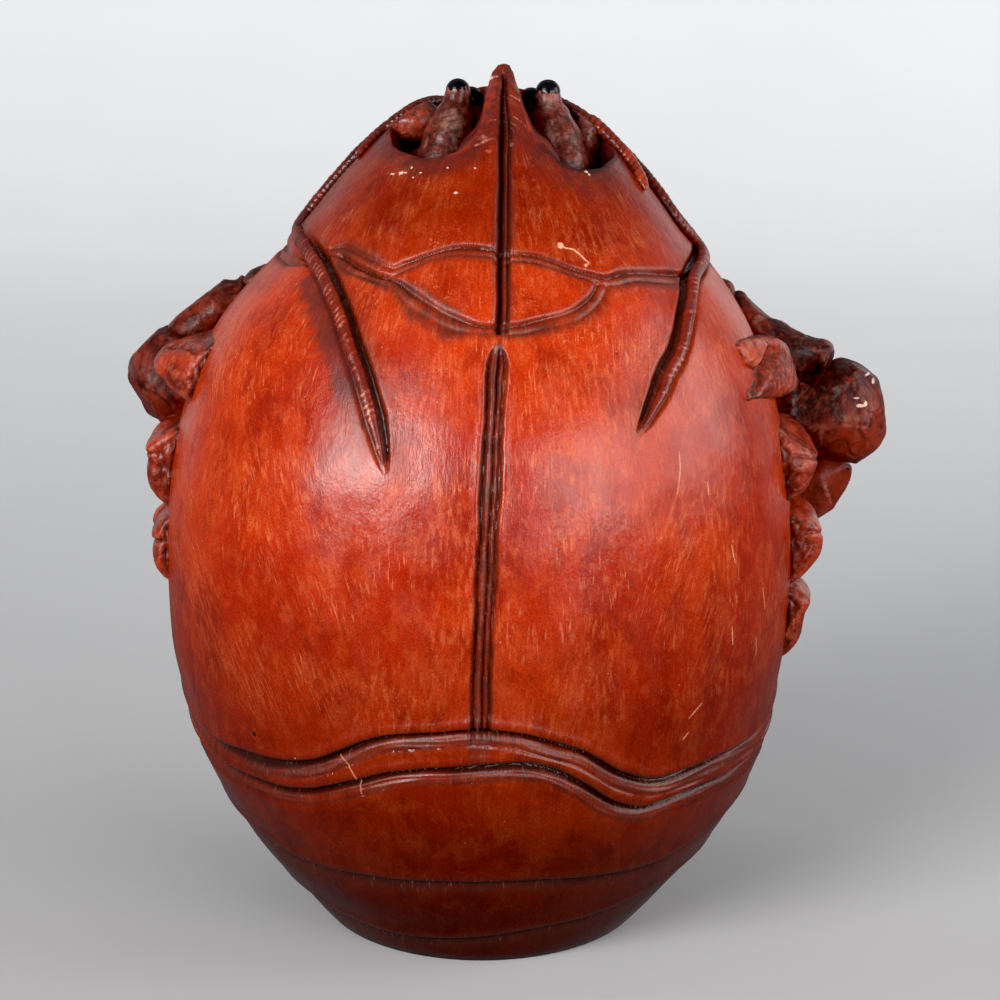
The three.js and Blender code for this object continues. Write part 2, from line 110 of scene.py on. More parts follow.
def surf(p):
    """Angle (degrees), height and distance off the body's surface."""
    z = np.clip(p[:, 2], 0.6, 297.0)
    yc = np.where(z > NECK_Z, (z - NECK_Z) / (CROWN_Z - NECK_Z) * CROWN_Y, 0.0)
    dy = p[:, 1] - yc
    c = np.where(dy < 0, dy / np.minimum(F_B(z) - yc, -1e-3), -dy / np.maximum(F_F(z) - yc, 1e-3))
    a = np.arctan2((p[:, 0] - F_C(z)) / np.maximum(F_W(z), 1e-3), c)
    h = ((p - body_point(z, a)) * body_normal(z, a)).sum(1)
    return np.degrees(a), p[:, 2], h


def catmull(points, n):
    """n samples of a smooth curve through the points (any dimension), even in parameter."""
    p = np.asarray(points, float)
    p = np.vstack([2 * p[0] - p[1], p, 2 * p[-1] - p[-2]])
    m = len(p) - 3
    t = np.linspace(0, m, n)
    i = np.minimum(t.astype(int), m - 1)
    u = (t - i)[:, None]
    a, b, c, d = p[i], p[i + 1], p[i + 2], p[i + 3]
    return 0.5 * (2 * b + (c - a) * u + (2 * a - 5 * b + 4 * c - d) * u ** 2 + (3 * b - a - 3 * c + d) * u ** 3)


def resample(p, step):
    """Points evenly spaced along a polyline."""
    seg = np.linalg.norm(np.diff(p, axis=0), axis=1)
    s = np.concatenate([[0], np.cumsum(seg)])
    n = max(int(s[-1] / step) + 1, 2)
    q = np.linspace(0, s[-1], n)
    return np.stack([np.interp(q, s, p[:, k]) for k in range(p.shape[1])], -1), q


def smoothstep(a, b, x):
    t = np.clip((x - a) / (b - a), 0, 1)
    return t * t * (3 - 2 * t)


def field(p, scale, seed=0.0, octaves=1):
    """Seeded smooth noise at points in mm, about -1..1."""
    out = np.zeros(len(p))
    amp = 1.0
    for o in range(octaves):
        k = scale * (2 ** o)
        q = p * k + seed * 17.31 + o * 5.7
        out += amp * np.fromiter((noise.noise(v) for v in q.tolist()), float, len(q))
        amp *= 0.5
    return out


# ---------------------------------------------------------------------------
# Carved lines, as angle (degrees) and height (mm) on the body.
MID_HEAD = [(20.0, 296.7), (15.2, 295.6), (9.3, 291.5), (6.0, 280.8), (4.1, 266.3), (3.2, 250.2), (3.3, 237.0), (3.4, 227.0)]
MID_BACK = [(3.1, 224.2), (2.9, 213.3), (2.4, 191.7), (1.8, 163.0), (1.1, 136.5), (0.6, 109.0), (0.4, 86.5)]
CERV_1 = [(-150, 236), (-125, 239), (-100, 241.4), (-80, 242.0), (-68, 242.4), (-60, 243.8), (-54, 246.9), (-47.0, 248.2), (-37.6, 246.1), (-28.2, 244.1),
          (-23.8, 246.2), (-17.2, 249.5), (-9.2, 251.5), (-0.2, 251.2), (3.1, 249.5), (6.3, 249.9), (11.9, 249.3),
          (18.1, 246.9), (25.6, 243.5), (32.5, 240.9), (40.0, 241.2), (47.7, 240.1), (57.5, 238.0), (66, 237.4), (80, 238.4), (100, 238),
          (125, 236), (150, 233)]
CERV_2 = [(-50, 246.6), (-43, 244.4), (-35.7, 242.9), (-25.9, 240.6), (-20.9, 237.6), (-14.8, 234.0), (-8.8, 230.8), (-2.2, 228.5),
          (3.6, 228.1), (7.3, 228.4), (13.8, 229.8), (20.8, 231.8), (26.6, 235.4), (30.2, 239.3), (31.8, 241.4)]
WAVE_1 = [(-150, 100), (-125, 94), (-100, 86), (-82, 80), (-70, 77.0), (-63.4, 75.8), (-55.6, 75.9), (-48.1, 75.9), (-41.7, 76.7), (-35.8, 78.6),
          (-30.5, 81.8), (-25.5, 86.3), (-20.9, 90.7), (-16.5, 93.7), (-12.5, 95.1), (-6.5, 96.5), (-0.7, 97.6), (6.8, 96.1),
          (12.8, 92.6), (18.1, 88.8), (22.6, 83.3), (27.4, 77.4), (32.4, 73.6), (37.2, 72.6), (43.4, 73.4), (51.2, 74.2),
          (59.4, 74.3), (68.0, 74.8), (82, 78), (100, 85), (125, 94), (150, 100)]
WAVE_2 = [(-150, 88), (-125, 82), (-100, 75), (-80, 69.5), (-63.6, 67.1), (-54.0, 67.2), (-46.7, 67.0), (-40.4, 67.3), (-34.6, 68.9), (-29.2, 71.7),
          (-24.1, 75.0), (-19.4, 78.3), (-15.0, 80.8), (-8.8, 83.0), (-2.8, 83.8), (3.5, 84.7), (6.9, 85.2), (10.9, 84.1),
          (15.1, 80.9), (19.4, 75.8), (24.0, 69.4), (28.2, 65.1), (32.4, 62.7), (37.2, 63.0), (42.8, 64.2), (49.3, 64.9),
          (57.1, 65.1), (65.3, 65.7), (80, 68.5), (100, 74), (125, 83), (150, 89)]
TAIL_A = [(-150, 66), (-120, 56), (-95, 48), (-78, 43.5), (-65.6, 41.0), (-54.1, 38.3), (-44.0, 36.1), (-30.7, 36.2), (-19.5, 36.6), (-9.3, 37.0), (0.6, 37.1),
          (12.6, 37.0), (23.1, 36.1), (35.0, 35.1), (44.9, 35.8), (55.6, 39.4), (62.5, 41.8), (75, 45), (95, 50), (120, 58), (150, 67)]
TAIL_B = [(-140, 34), (-115, 26), (-90, 19.5), (-72, 15.5), (-56.7, 13.1), (-47.5, 11.3), (-35.0, 9.7), (-23.1, 9.6), (-9.0, 10.5), (4.6, 12.5), (16.1, 14.7), (29.2, 16.2),
          (39.5, 18.1), (46.5, 19.9), (54.4, 21.4), (68, 24.5), (90, 28), (115, 33), (140, 38)]
ANT_L = [(-168, 286.5), (-150, 288.6), (-128, 289.6), (-110, 288.5), (-103, 284.5), (-100, 279.5), (-98, 274.5), (-97, 269), (-96, 262.6), (-95, 256.5),
         (-93, 252), (-86, 249.2), (-77, 248.4), (-67, 246.8), (-58.4, 244.4), (-50.4, 241.2), (-41.2, 235), (-34.5, 228.5),
         (-29, 220.4), (-25.5, 214.2), (-22, 205.3), (-19.5, 196.5), (-17.7, 188.5), (-17.1, 185.6)]
ANT_R = [(168, 286.5), (150, 288.6), (126, 289.6), (109, 288), (102.5, 284.5), (100, 280.5), (98.5, 277), (97, 272.5), (94.5, 267.7), (89, 263.5),
         (86, 258), (85, 252.4), (87, 247), (89.5, 243.4), (85, 240.8), (77.3, 239.4), (69.9, 238.4), (63.2, 236.2), (57, 231.2),
         (52.2, 226.2), (48.5, 221.1), (44.3, 215.3), (40.8, 211.2), (37.9, 206), (35.1, 201.3), (33, 197.5), (31.5, 195.1)]


class Line:
    """A carved line: samples on the body with tangent, outward normal and arc length."""

    def __init__(self, path, step=0.6):
        q = catmull(path, len(path) * 24)
        pts, self.s = resample(np.concatenate([body_point(q[:, 1], np.radians(q[:, 0])), q], 1), step)
        self.p = pts[:, :3]
        self.n = body_normal(pts[:, 4], np.radians(pts[:, 3]))
        t = np.gradient(self.p, axis=0)
        self.t = t / np.linalg.norm(t, axis=1, keepdims=True)
        self.b = np.cross(self.n, self.t)
        self.length = self.s[-1]
        self.tree = kdtree.KDTree(len(self.p))
        for i, v in enumerate(self.p.tolist()):
            self.tree.insert(v, i)
        self.tree.balance()
        self.lo, self.hi = self.p.min(0) - 16, self.p.max(0) + 16

    def measure(self, pts):
        """Signed distance across the line, distance along it, and end overrun, per point. Far points give 99."""
        n = len(pts)
        d = np.full(n, 99.0)
        s = np.zeros(n)
        over = np.zeros(n)
        near = np.where(((pts > self.lo) & (pts < self.hi)).all(1))[0]
        if len(near) == 0:
            return d, s, over
        idx = np.fromiter((self.tree.find(v)[1] for v in pts[near].tolist()), int, len(near))
        r = pts[near] - self.p[idx]
        d[near] = (r * self.b[idx]).sum(1)
        along = (r * self.t[idx]).sum(1)
        s[near] = self.s[idx]
        ends = (idx == 0) | (idx == len(self.p) - 1)
        over[near] = np.where(ends, np.abs(along), 0.0)
        far = np.abs(d[near]) > 30
        d[near[far]] = 99.0
        return d, s, over


LINES = {k: Line(v) for k, v in dict(mid_head=MID_HEAD, mid_back=MID_BACK, cerv_1=CERV_1, cerv_2=CERV_2, wave_1=WAVE_1,
                                      wave_2=WAVE_2, tail_a=TAIL_A, tail_b=TAIL_B, ant_l=ANT_L, ant_r=ANT_R).items()}


def wobble(s, seed, scale=0.05):
    return np.fromiter((noise.noise((v * scale, seed * 3.7, 1.3)) for v in s.tolist()), float, len(s))


def bell(d, c, w):
    return np.exp(-((d - c) / w) ** 2)


def ends(over, s, length, soft):
    """1 along a line, fading out at both its ends."""
    e = np.clip(1 - over / 1.6, 0, 1)
    return e * smoothstep(0, soft, s + 0.4) * smoothstep(0, soft, length - s + 0.4)


def flat_top(d, w, soft):
    return smoothstep(w + soft, w - soft, np.abs(d))


def carve(pts):
    """Depth (mm, - is inwards), dark wash 0..1 and line core 0..1 of the carved lines at surface points."""
    h = np.zeros(len(pts))
    wash = np.zeros(len(pts))
    core = np.zeros(len(pts))
    grain_all = field(pts, 0.16, 3.0, 2)
    deg_all = surf(pts)[0]

    def at(key):
        L = LINES[key]
        d, s, o = L.measure(pts)
        i = np.where(np.abs(d) < 22)[0]
        return L, i, d[i], s[i], o[i], deg_all[i], grain_all[i]

    def lay(i, dh, w, c):
        h[i] += dh
        wash[i] = np.maximum(wash[i], w)
        core[i] = np.maximum(core[i], c)

    # Centre line on the head: a slot with a thin ridge beside it, hair-fine at the tip of the rostrum.
    L, i, d, s, o, deg, grain = at("mid_head")
    e = ends(o, s, L.length, 2.5)
    wide = (0.34 + 0.66 * smoothstep(2, 34, s)) * (1 + 0.15 * wobble(s, 1))
    dd = (d + 0.22 * wobble(s, 6, 0.09)) / wide
    cut = -2.5 * bell(dd, -0.5, 1.0) - 1.1 * bell(dd, 2.0, 0.6) - 0.6 * bell(dd, 0, 3.0) + 0.4 * bell(dd, -3.1, 0.9) + 0.35 * bell(dd, 3.5, 0.8)
    c = bell(dd, -0.5, 1.2) + 0.7 * bell(dd, 2.0, 0.7)
    lay(i, cut * e * np.sqrt(wide), 0.95 * flat_top(dd - 0.4, 3.0, 1.2) * e * (0.86 + 0.3 * grain), c * e)

    # Centre line on the back: a band with a cut along each edge and fine ridges between.
    L, i, d, s, o, deg, grain = at("mid_back")
    e = ends(o, s, L.length, 6.0)
    wide = (0.92 + 0.12 * wobble(s, 2) + 0.05 * wobble(s, 12, 0.25)) * np.sqrt(np.clip((s + 1.5 - o) / 11.0, 0.02, 1))
    dd = (d + 0.25 * wobble(s, 7, 0.09)) / wide
    ridge = 0.35 * wobble(s, 14, 0.06)
    out = smoothstep(2, 17, L.length - s)
    come = smoothstep(8, 30, s)
    cut = out * (-1.6 * bell(dd, -2.9, 0.85) - 1.5 * bell(dd, 3.0, 0.85) - 1.3 * bell(dd, 0.5 + ridge, 0.55) - 0.55 * flat_top(dd, 3.0, 1.0) - 0.5 * (1 - come) * bell(dd, 0, 1.8)
           + 0.3 * bell(dd, -4.9, 1.0) + 0.3 * bell(dd, 4.9, 1.0) + 0.35 * come * bell(dd, -1.1 + ridge, 0.6))
    fade = 0.75 + 0.45 * wobble(s, 15, 0.045)
    c = 0.95 * bell(dd, -2.9, 1.0) * np.clip(fade + 0.1, 0, 1) + 0.9 * bell(dd, 3.0, 0.95) * np.clip(1.5 - fade, 0, 1) + 0.85 * bell(dd, 0.5 + ridge, 0.7) + 0.7 * (1 - come) * bell(dd, -0.5, 1.6)
    lay(i, cut * e, 0.95 * flat_top(dd, 4.0, 0.9) * ends(o, s, L.length, 1.5) * (0.55 + 0.45 * out) * (0.88 + 0.3 * grain), 0.80 * c * np.minimum(e + 0.5, 1) * (o < 1.2) * out)

    # Neck lines: a ragged gouge, deepest under its upper lip, with a worn ridge inside.
    for key, soft, seed in (("cerv_1", 12.0, 3), ("cerv_2", 5.0, 4)):
        L, i, d, s, o, deg, grain = at(key)
        e = ends(o, s, L.length, soft)
        wide = 1 + 0.30 * wobble(s, seed, 0.05)
        if key == "cerv_1":
            broad = smoothstep(-56, -47, deg) * smoothstep(-27, -34, deg) + smoothstep(31, 37, deg) * smoothstep(66, 56, deg) + 0.5 * smoothstep(-58, -64, deg) * smoothstep(-110, -90, deg)
            rubbed = 1 - 0.75 * bell(deg, -28.5, 3.2)
        else:
            broad = 0.6 * smoothstep(4, 14, deg) + 1.5 * smoothstep(-25, -17, deg) * smoothstep(-1, -8, deg) + 0.5 * smoothstep(-19, -25, deg)
            rubbed = 1.0
        wide = wide * (0.88 + 0.34 * broad)
        dd = (d + 0.35 * wobble(s, seed + 5, 0.08)) / wide
        come = np.clip(0.80 + 0.75 * wobble(s, seed + 11, 0.045), 0.25, 1.15)
        go = np.clip(0.62 + 0.9 * wobble(s, seed + 13, 0.06), 0.0, 1.0)
        cut = (-1.35 * come * bell(dd, 1.5, 0.85) - 0.8 * go * bell(dd, -1.6, 0.8) - 0.45 * bell(dd, 0, 2.7)
               + 0.12 * bell(dd, 3.9, 1.1) + 0.1 * bell(dd, -4.1, 1.1))
        c = 0.80 * np.clip(come, 0, 1) * bell(dd, 1.5, 0.80) + 0.5 * go * bell(dd, -1.6, 0.75)
        w = (0.74 + 0.22 * broad) * flat_top(dd + 0.2, 3.0 + 0.7 * broad, 1.7)
        lay(i, cut * e, w * e * rubbed * (0.85 + 0.4 * grain), c * e * rubbed * (1 - 0.45 * broad))

    # Rear edge of the shell: two steps. A dark slot under an overhanging lip, then a long bevel. d > 0 is above.
    for key, seed in (("wave_1", 6), ("wave_2", 7)):
        L, i, d, s, o, deg, grain = at(key)
        e = ends(o, s, L.length, 18.0)
        up = d * np.sign(L.b[len(L.b) // 2][2]) + 0.4 * wobble(s, seed, 0.06)
        if key == "wave_1":
            dip = 1.45 * bell(deg, -47, 16) + 0.55 * bell(deg, 36, 14)
        else:
            dip = 0.95 * bell(deg, -42, 15) + 0.55 * bell(deg, 1, 14) + 0.5 * bell(deg, 40, 14)
        thick = np.clip(1.0 + 0.55 * wobble(s, seed + 2, 0.03) + 0.18 * wobble(s, seed + 27, 0.22) + 1.25 * dip, 0.6, 2.9)
        stroke = np.fromiter((noise.noise((a * 0.055, b * 0.95, seed * 2.3)) for a, b in zip(s.tolist(), up.tolist())), float, len(s))
        slot = np.where(up > 0, np.exp(-(up / (0.40 + 0.42 * thick)) ** 2), np.exp(-(up / (0.75 * thick)) ** 2))
        t = np.clip((-up - 0.3) / (4.3 + 0.6 * wobble(s, seed + 3, 0.04)), 0, 1)
        bevel = np.where(up < 0, (1 - t) ** 1.15, np.exp(-(up / 0.6) ** 2))
        cut = -1.5 * slot - 1.25 * bevel + 0.55 * bell(up, 2.6 + 0.5 * thick, 1.7) - 0.35 * bell(up, -4.9, 0.5) + 0.25 * bell(up, -6.2, 1.2) + 0.12 * bell(up, -2.6 + 0.8 * wobble(s, seed + 23, 0.05), 0.6)
        cut = cut + 0.42 * stroke * smoothstep(-7.0, -5.0, up) * smoothstep(0.4, -0.8, up)
        c = np.where(up > 0, smoothstep(1.05 * thick + 0.25, 0.45 * thick, up), smoothstep(-1.15 * thick - 0.2, -0.45 * thick, up))
        c = np.maximum(c * 0.98, 0.5 * np.clip(0.5 + wobble(s, seed + 17, 0.05), 0, 1) * bell(up, -4.9, 0.6))
        worn = np.clip(0.80 + 0.75 * wobble(s, seed + 19, 0.035) + 0.25 * wobble(s, seed + 21, 0.2) + 0.55 * stroke, 0.12, 1.0)
        w = np.where(up > 0, 0.92 * np.exp(-(up / (0.9 + 0.8 * thick)) ** 2), 0.90 * worn * smoothstep(-6.0, -4.0, up))
        lay(i, cut * e, w * e * (0.9 + 0.35 * grain), c * e)

    # Tail rings: each one laps over the next below.
    for key, seed, depth in (("tail_a", 8, 1.9), ("tail_b", 9, 1.7)):
        L, i, d, s, o, deg, grain = at(key)
        e = ends(o, s, L.length, 22.0)
        up = d * np.sign(L.b[len(L.b) // 2][2]) + 0.4 * wobble(s, seed, 0.05)
        below = np.where(up < 0.4, 0.62 * np.exp(-np.abs(up - 0.4) / 1.6) + 0.38 * np.exp(-np.abs(up - 0.4) / 6.5), np.exp(-((up - 0.4) / 0.7) ** 2))
        cut = -depth * below + 0.5 * bell(up, 3.4, 2.6)
        thick = np.clip(1 + 0.5 * wobble(s, seed + 4, 0.03), 0.6, 1.5)
        thick = thick * (1 + 0.22 * wobble(s, seed + 6, 0.25))
        c = np.where(up < 0.4, np.exp(-(np.abs(up - 0.4) / (2.7 * thick)) ** 1.7), np.exp(-((up - 0.4) / 1.7) ** 2))
        w = np.where(up < 0.4, 0.95 * np.exp(-(np.abs(up - 0.4) / 4.8) ** 2), 0.9 * np.exp(-((up - 0.4) / 3.2) ** 2))
        lay(i, cut * e, w * e * (0.9 + 0.3 * grain), c * e)

    # Furrows that the feelers lie in, deep on the inner side, with smoky wash beside them.
    for key, seed, inner in (("ant_l", 11, -1), ("ant_r", 12, 1)):
        L, i, d0, s, o, deg, grain = at(key)
        left = L.length - s
        e = np.clip(1 - o / 5.0, 0, 1) * smoothstep(0, 3, s + 0.4)
        back = smoothstep(140, 118, left)
        # near the tip the furrow closes in on the line
        close = np.sqrt(np.clip((left + 4.0) / 26.0, 0.03, 1)) * np.where(o > 0, np.clip(1 - o / 5.0, 0.05, 1), 1.0)
        d = d0 / close
        k = e * np.clip(0.25 + (left + 2.0) / 10.0, 0.0, 1)
        side = d * inner * -1.0        # + towards the centre line once the feeler is on the back
        side0 = d0 * inner * -1.0
        cut = -(0.4 + 1.3 * back) * bell(side, 3.3, 1.45) - (0.4 + 0.4 * back) * bell(side, -2.9, 1.0) - 0.5 * bell(d, 0, 3) + 0.3 * back * bell(side, 5.6, 1.3)
        c = (0.40 + 0.58 * back) * np.maximum(bell(side, 3.3, 1.75), 0.5 * bell(side, -2.7, 0.8))
        patch = 0.75 + 0.4 * wobble(s, seed + 3, 0.06) + 0.4 * grain
        if inner == -1:
            top = smoothstep(27, 37, left)
            band = 5.3 + 0.35 * wobble(s, seed + 9, 0.08)
            out = top * flat_top(side0 + 4.3, band, 0.55) * 0.30 * smoothstep(113, 107, left) + (1 - top) * 0.74 * np.exp(-(side0 / 8.0) ** 2) * smoothstep(-2, 14, left)
            inn = 0.86 * np.exp(-(side0 / 7.4) ** 2) * smoothstep(-4, 8, left)
            patch = patch * (1 - 0.85 * top * (side0 < 0)) + 0.66 * top * (side0 < 0)
            smoke = np.where(side0 < 0, out, inn) * np.clip(back + 0.35, 0, 1)
        else:
            smoke = np.where(side0 < 0, 0.5 * np.exp(-(side0 / 3.4) ** 2), 0.80 * np.exp(-(side0 / 6.4) ** 2)) * smoothstep(-3, 6, left)
            smoke = np.maximum(smoke, 0.85 * np.exp(-(d0 / 1.5) ** 2) * np.clip(1 - o / 7.0, 0, 1))
        lay(i, cut * k, np.maximum(smoke * (0.3 + 0.95 * patch) * np.clip(1 - o / 9.0, 0, 1), 0.8 * k * flat_top(d, 3.4, 1.0) * patch), c * k)
    return h, np.clip(wash, 0, 1), np.clip(core, 0, 1)


def stained(pts):
    """Old stain on the back: a band with a clean edge along the outer side of the left feeler, 0..1."""
    L = LINES["ant_l"]
    d, s, o = L.measure(pts)
    left = L.length - s
    band = 5.6 + 0.3 * wobble(s, 20, 0.08)
    return flat_top(d + 4.4, band, 0.4) * smoothstep(24, 40, left) * smoothstep(113, 107, left) * (o <= 0)


# Fine scratches and threads that show the ground: path on the body, half width (mm), strength.
MARKS = [([(21.0, 252.4), (22.6, 251.5), (24.7, 250.9), (26.4, 249.1), (27.3, 247.8), (28.1, 246.6), (27.1, 245.9)], 0.42, 1.0),
         ([(-25.9, 84.8), (-24.5, 83.3), (-23.2, 79.7), (-22.5, 75.6), (-22.3, 71.9)], 0.24, 0.75),
         ([(39.4, 185.9), (39.0, 180.3), (37.7, 172.9)], 0.32, 0.75), ([(50.9, 150.9), (51.4, 147.5), (51.9, 144.4)], 0.36, 0.8),
         ([(50.8, 122.3), (51.3, 115.9)], 0.36, 0.8), ([(43.4, 98.1), (42.0, 96.1), (40.7, 94.2)], 0.34, 0.7), ([(41.0, 88.7), (39.9, 86.7)], 0.36, 0.65),
         ([(61.4, 131.5), (62.4, 123.9)], 0.34, 0.6), ([(45.4, 174.2), (45.4, 170.3)], 0.36, 0.7), ([(59.5, 114.5), (59.9, 107.8)], 0.32, 0.5)]
BLOBS = [((21.0, 252.4), 1.15), ((27.1, 245.9), 0.6)]
MARK_LINES = [(Line(p, 0.3), w, k) for p, w, k in MARKS]


def marked(pts):
    out = np.zeros(len(pts))
    for L, w, k in MARK_LINES:
        d, s, o = L.measure(pts)
        taper = 0.55 + 0.45 * np.sin(math.pi * np.clip(s / L.length, 0.08, 0.92))
        out = np.maximum(out, k * flat_top(d, 0.72 * w * taper, 0.20) * (o < 0.3))
    for (a, z), r in BLOBS:
        c = body_point(z, math.radians(a))
        q = np.linalg.norm(pts - c, axis=1)
        out = np.maximum(out, smoothstep(r + 0.25, r - 0.25, q))
    return out


def mark_reach(pts):
    best = np.full(len(pts), 99.0)
    for L, _, _ in MARK_LINES:
        d, _, o = L.measure(pts)
        best = np.minimum(best, np.hypot(d, o))
    return best


# ---------------------------------------------------------------------------
# Eye hollows and rostrum.
SOCKETS = [((-13.0, -2.5, 289.8), (19.0, 29.5, 25.3)), ((33.0, -7.4, 290.5), (17.1, 27.2, 25.4))]


HORN_Z = [276.0, 281.2, 285.0, 290.6, 295.1, 299.9, 302.9, 304.6, 305.8, 306.6, 320.0]
HORN_L = [-9.0, -5.2, -0.5, 1.5, 2.2, 3.5, 4.2, 5.0, 6.2, 7.4, 7.4]
HORN_R = [28.0, 24.1, 19.0, 16.1, 14.8, 13.0, 12.4, 11.8, 11.0, 10.0, 10.0]


def rostrum_lift(p):
    """Upward growth (mm) of the crown into the rostrum: a straight run off the back of the head."""
    x, y, z = p[:, 0], p[:, 1], p[:, 2]
    dx = x - 8.7
    line = np.where(y < -0.3, 279.0 + (y + 32.0) * 0.86, 306.3 - 2.6 * (y + 0.3))
    line = line + 0.9 - (0.045 + 0.13 * smoothstep(-14, -3, y)) * dx ** 2
    k = np.exp(-np.abs(dx / 13.0) ** 6)
    up = line - z
    up = np.where(up > -6, 0.5 * (up + np.sqrt(up * up + 3.0)), 0.0) * k
    return up * smoothstep(272, 281, z) * smoothstep(16, 9, y)


def wrinkles(p):
    """Folds of skin across the rostrum, sloping down from its middle line, 0..1 on their crests."""
    dx = p[:, 0] - 8.7
    run = p[:, 2] + np.where(dx > 0, 0.62 * dx, -0.22 * dx)
    q = np.stack([run * 0.40, dx * 0.07, p[:, 1] * 0.03], 1)
    w = np.clip(1 - np.abs(field(q, 1.0, 61.0)) * 3.2, 0, 1) ** 1.5
    w = w * smoothstep(-0.35, 0.25, field(p, 0.13, 62.0))
    return w * smoothstep(276, 284, p[:, 2]) * smoothstep(14, 9, np.abs(dx)) * smoothstep(1.2, 2.4, np.abs(dx)) * (p[:, 1] < 6)


def uneven(p):
    return 0.55 * field(p, 0.022, 1.0) + 0.28 * field(p, 0.055, 2.0)


# ---------------------------------------------------------------------------
# Mesh helpers.

def link(ob):
    bpy.context.scene.collection.objects.link(ob)
    return ob


def mesh_object(name, verts_mm, faces, smooth=True):
    me = bpy.data.meshes.new(name)
    me.from_pydata(to_m(verts_mm).tolist(), [], faces)
    me.validate()
    ob = link(bpy.data.objects.new(name, me))
    if smooth:
        me.polygons.foreach_set("use_smooth", [True] * len(me.polygons))
    return ob


def coords(me):
    a = np.empty(len(me.vertices) * 3)
    me.vertices.foreach_get("co", a)
    return a.reshape(-1, 3)


def set_coords(me, a):
    me.vertices.foreach_set("co", np.asarray(a, float).ravel())
    me.update()


def normals_of(me):
    a = np.empty(len(me.vertices) * 3)
    me.vertex_normals.foreach_get("vector", a)
    return a.reshape(-1, 3)


def edges_of(me):
    a = np.empty(len(me.edges) * 2, dtype=np.int32)
    me.edges.foreach_get("vertices", a)
    return a.reshape(-1, 2)


def relax(x, e, rounds, k=0.5):
    n = len(x)
    deg = np.bincount(e.ravel(), minlength=n).astype(float)
    deg = np.maximum(deg, 1)[:, None]
    for _ in range(rounds):
        s = np.zeros_like(x)
        for c in range(x.shape[1]):
            s[:, c] = np.bincount(e[:, 0], weights=x[e[:, 1], c], minlength=n) + np.bincount(e[:, 1], weights=x[e[:, 0], c], minlength=n)
        x = x + k * (s / deg - x)
    return x


def attribute(me, name, values):
    at = me.attributes.get(name) or me.attributes.new(name, "FLOAT", "POINT")
    at.data.foreach_set("value", np.asarray(values, np.float32))


def bake_modifiers(ob):
    """The object's mesh with its modifiers applied."""
    dg = bpy.context.evaluated_depsgraph_get()
    me = bpy.data.meshes.new_from_object(ob.evaluated_get(dg), depsgraph=dg)
    old = ob.data
    ob.modifiers.clear()
    ob.data = me
    bpy.data.meshes.remove(old)
    return me


# ---------------------------------------------------------------------------
# The body.

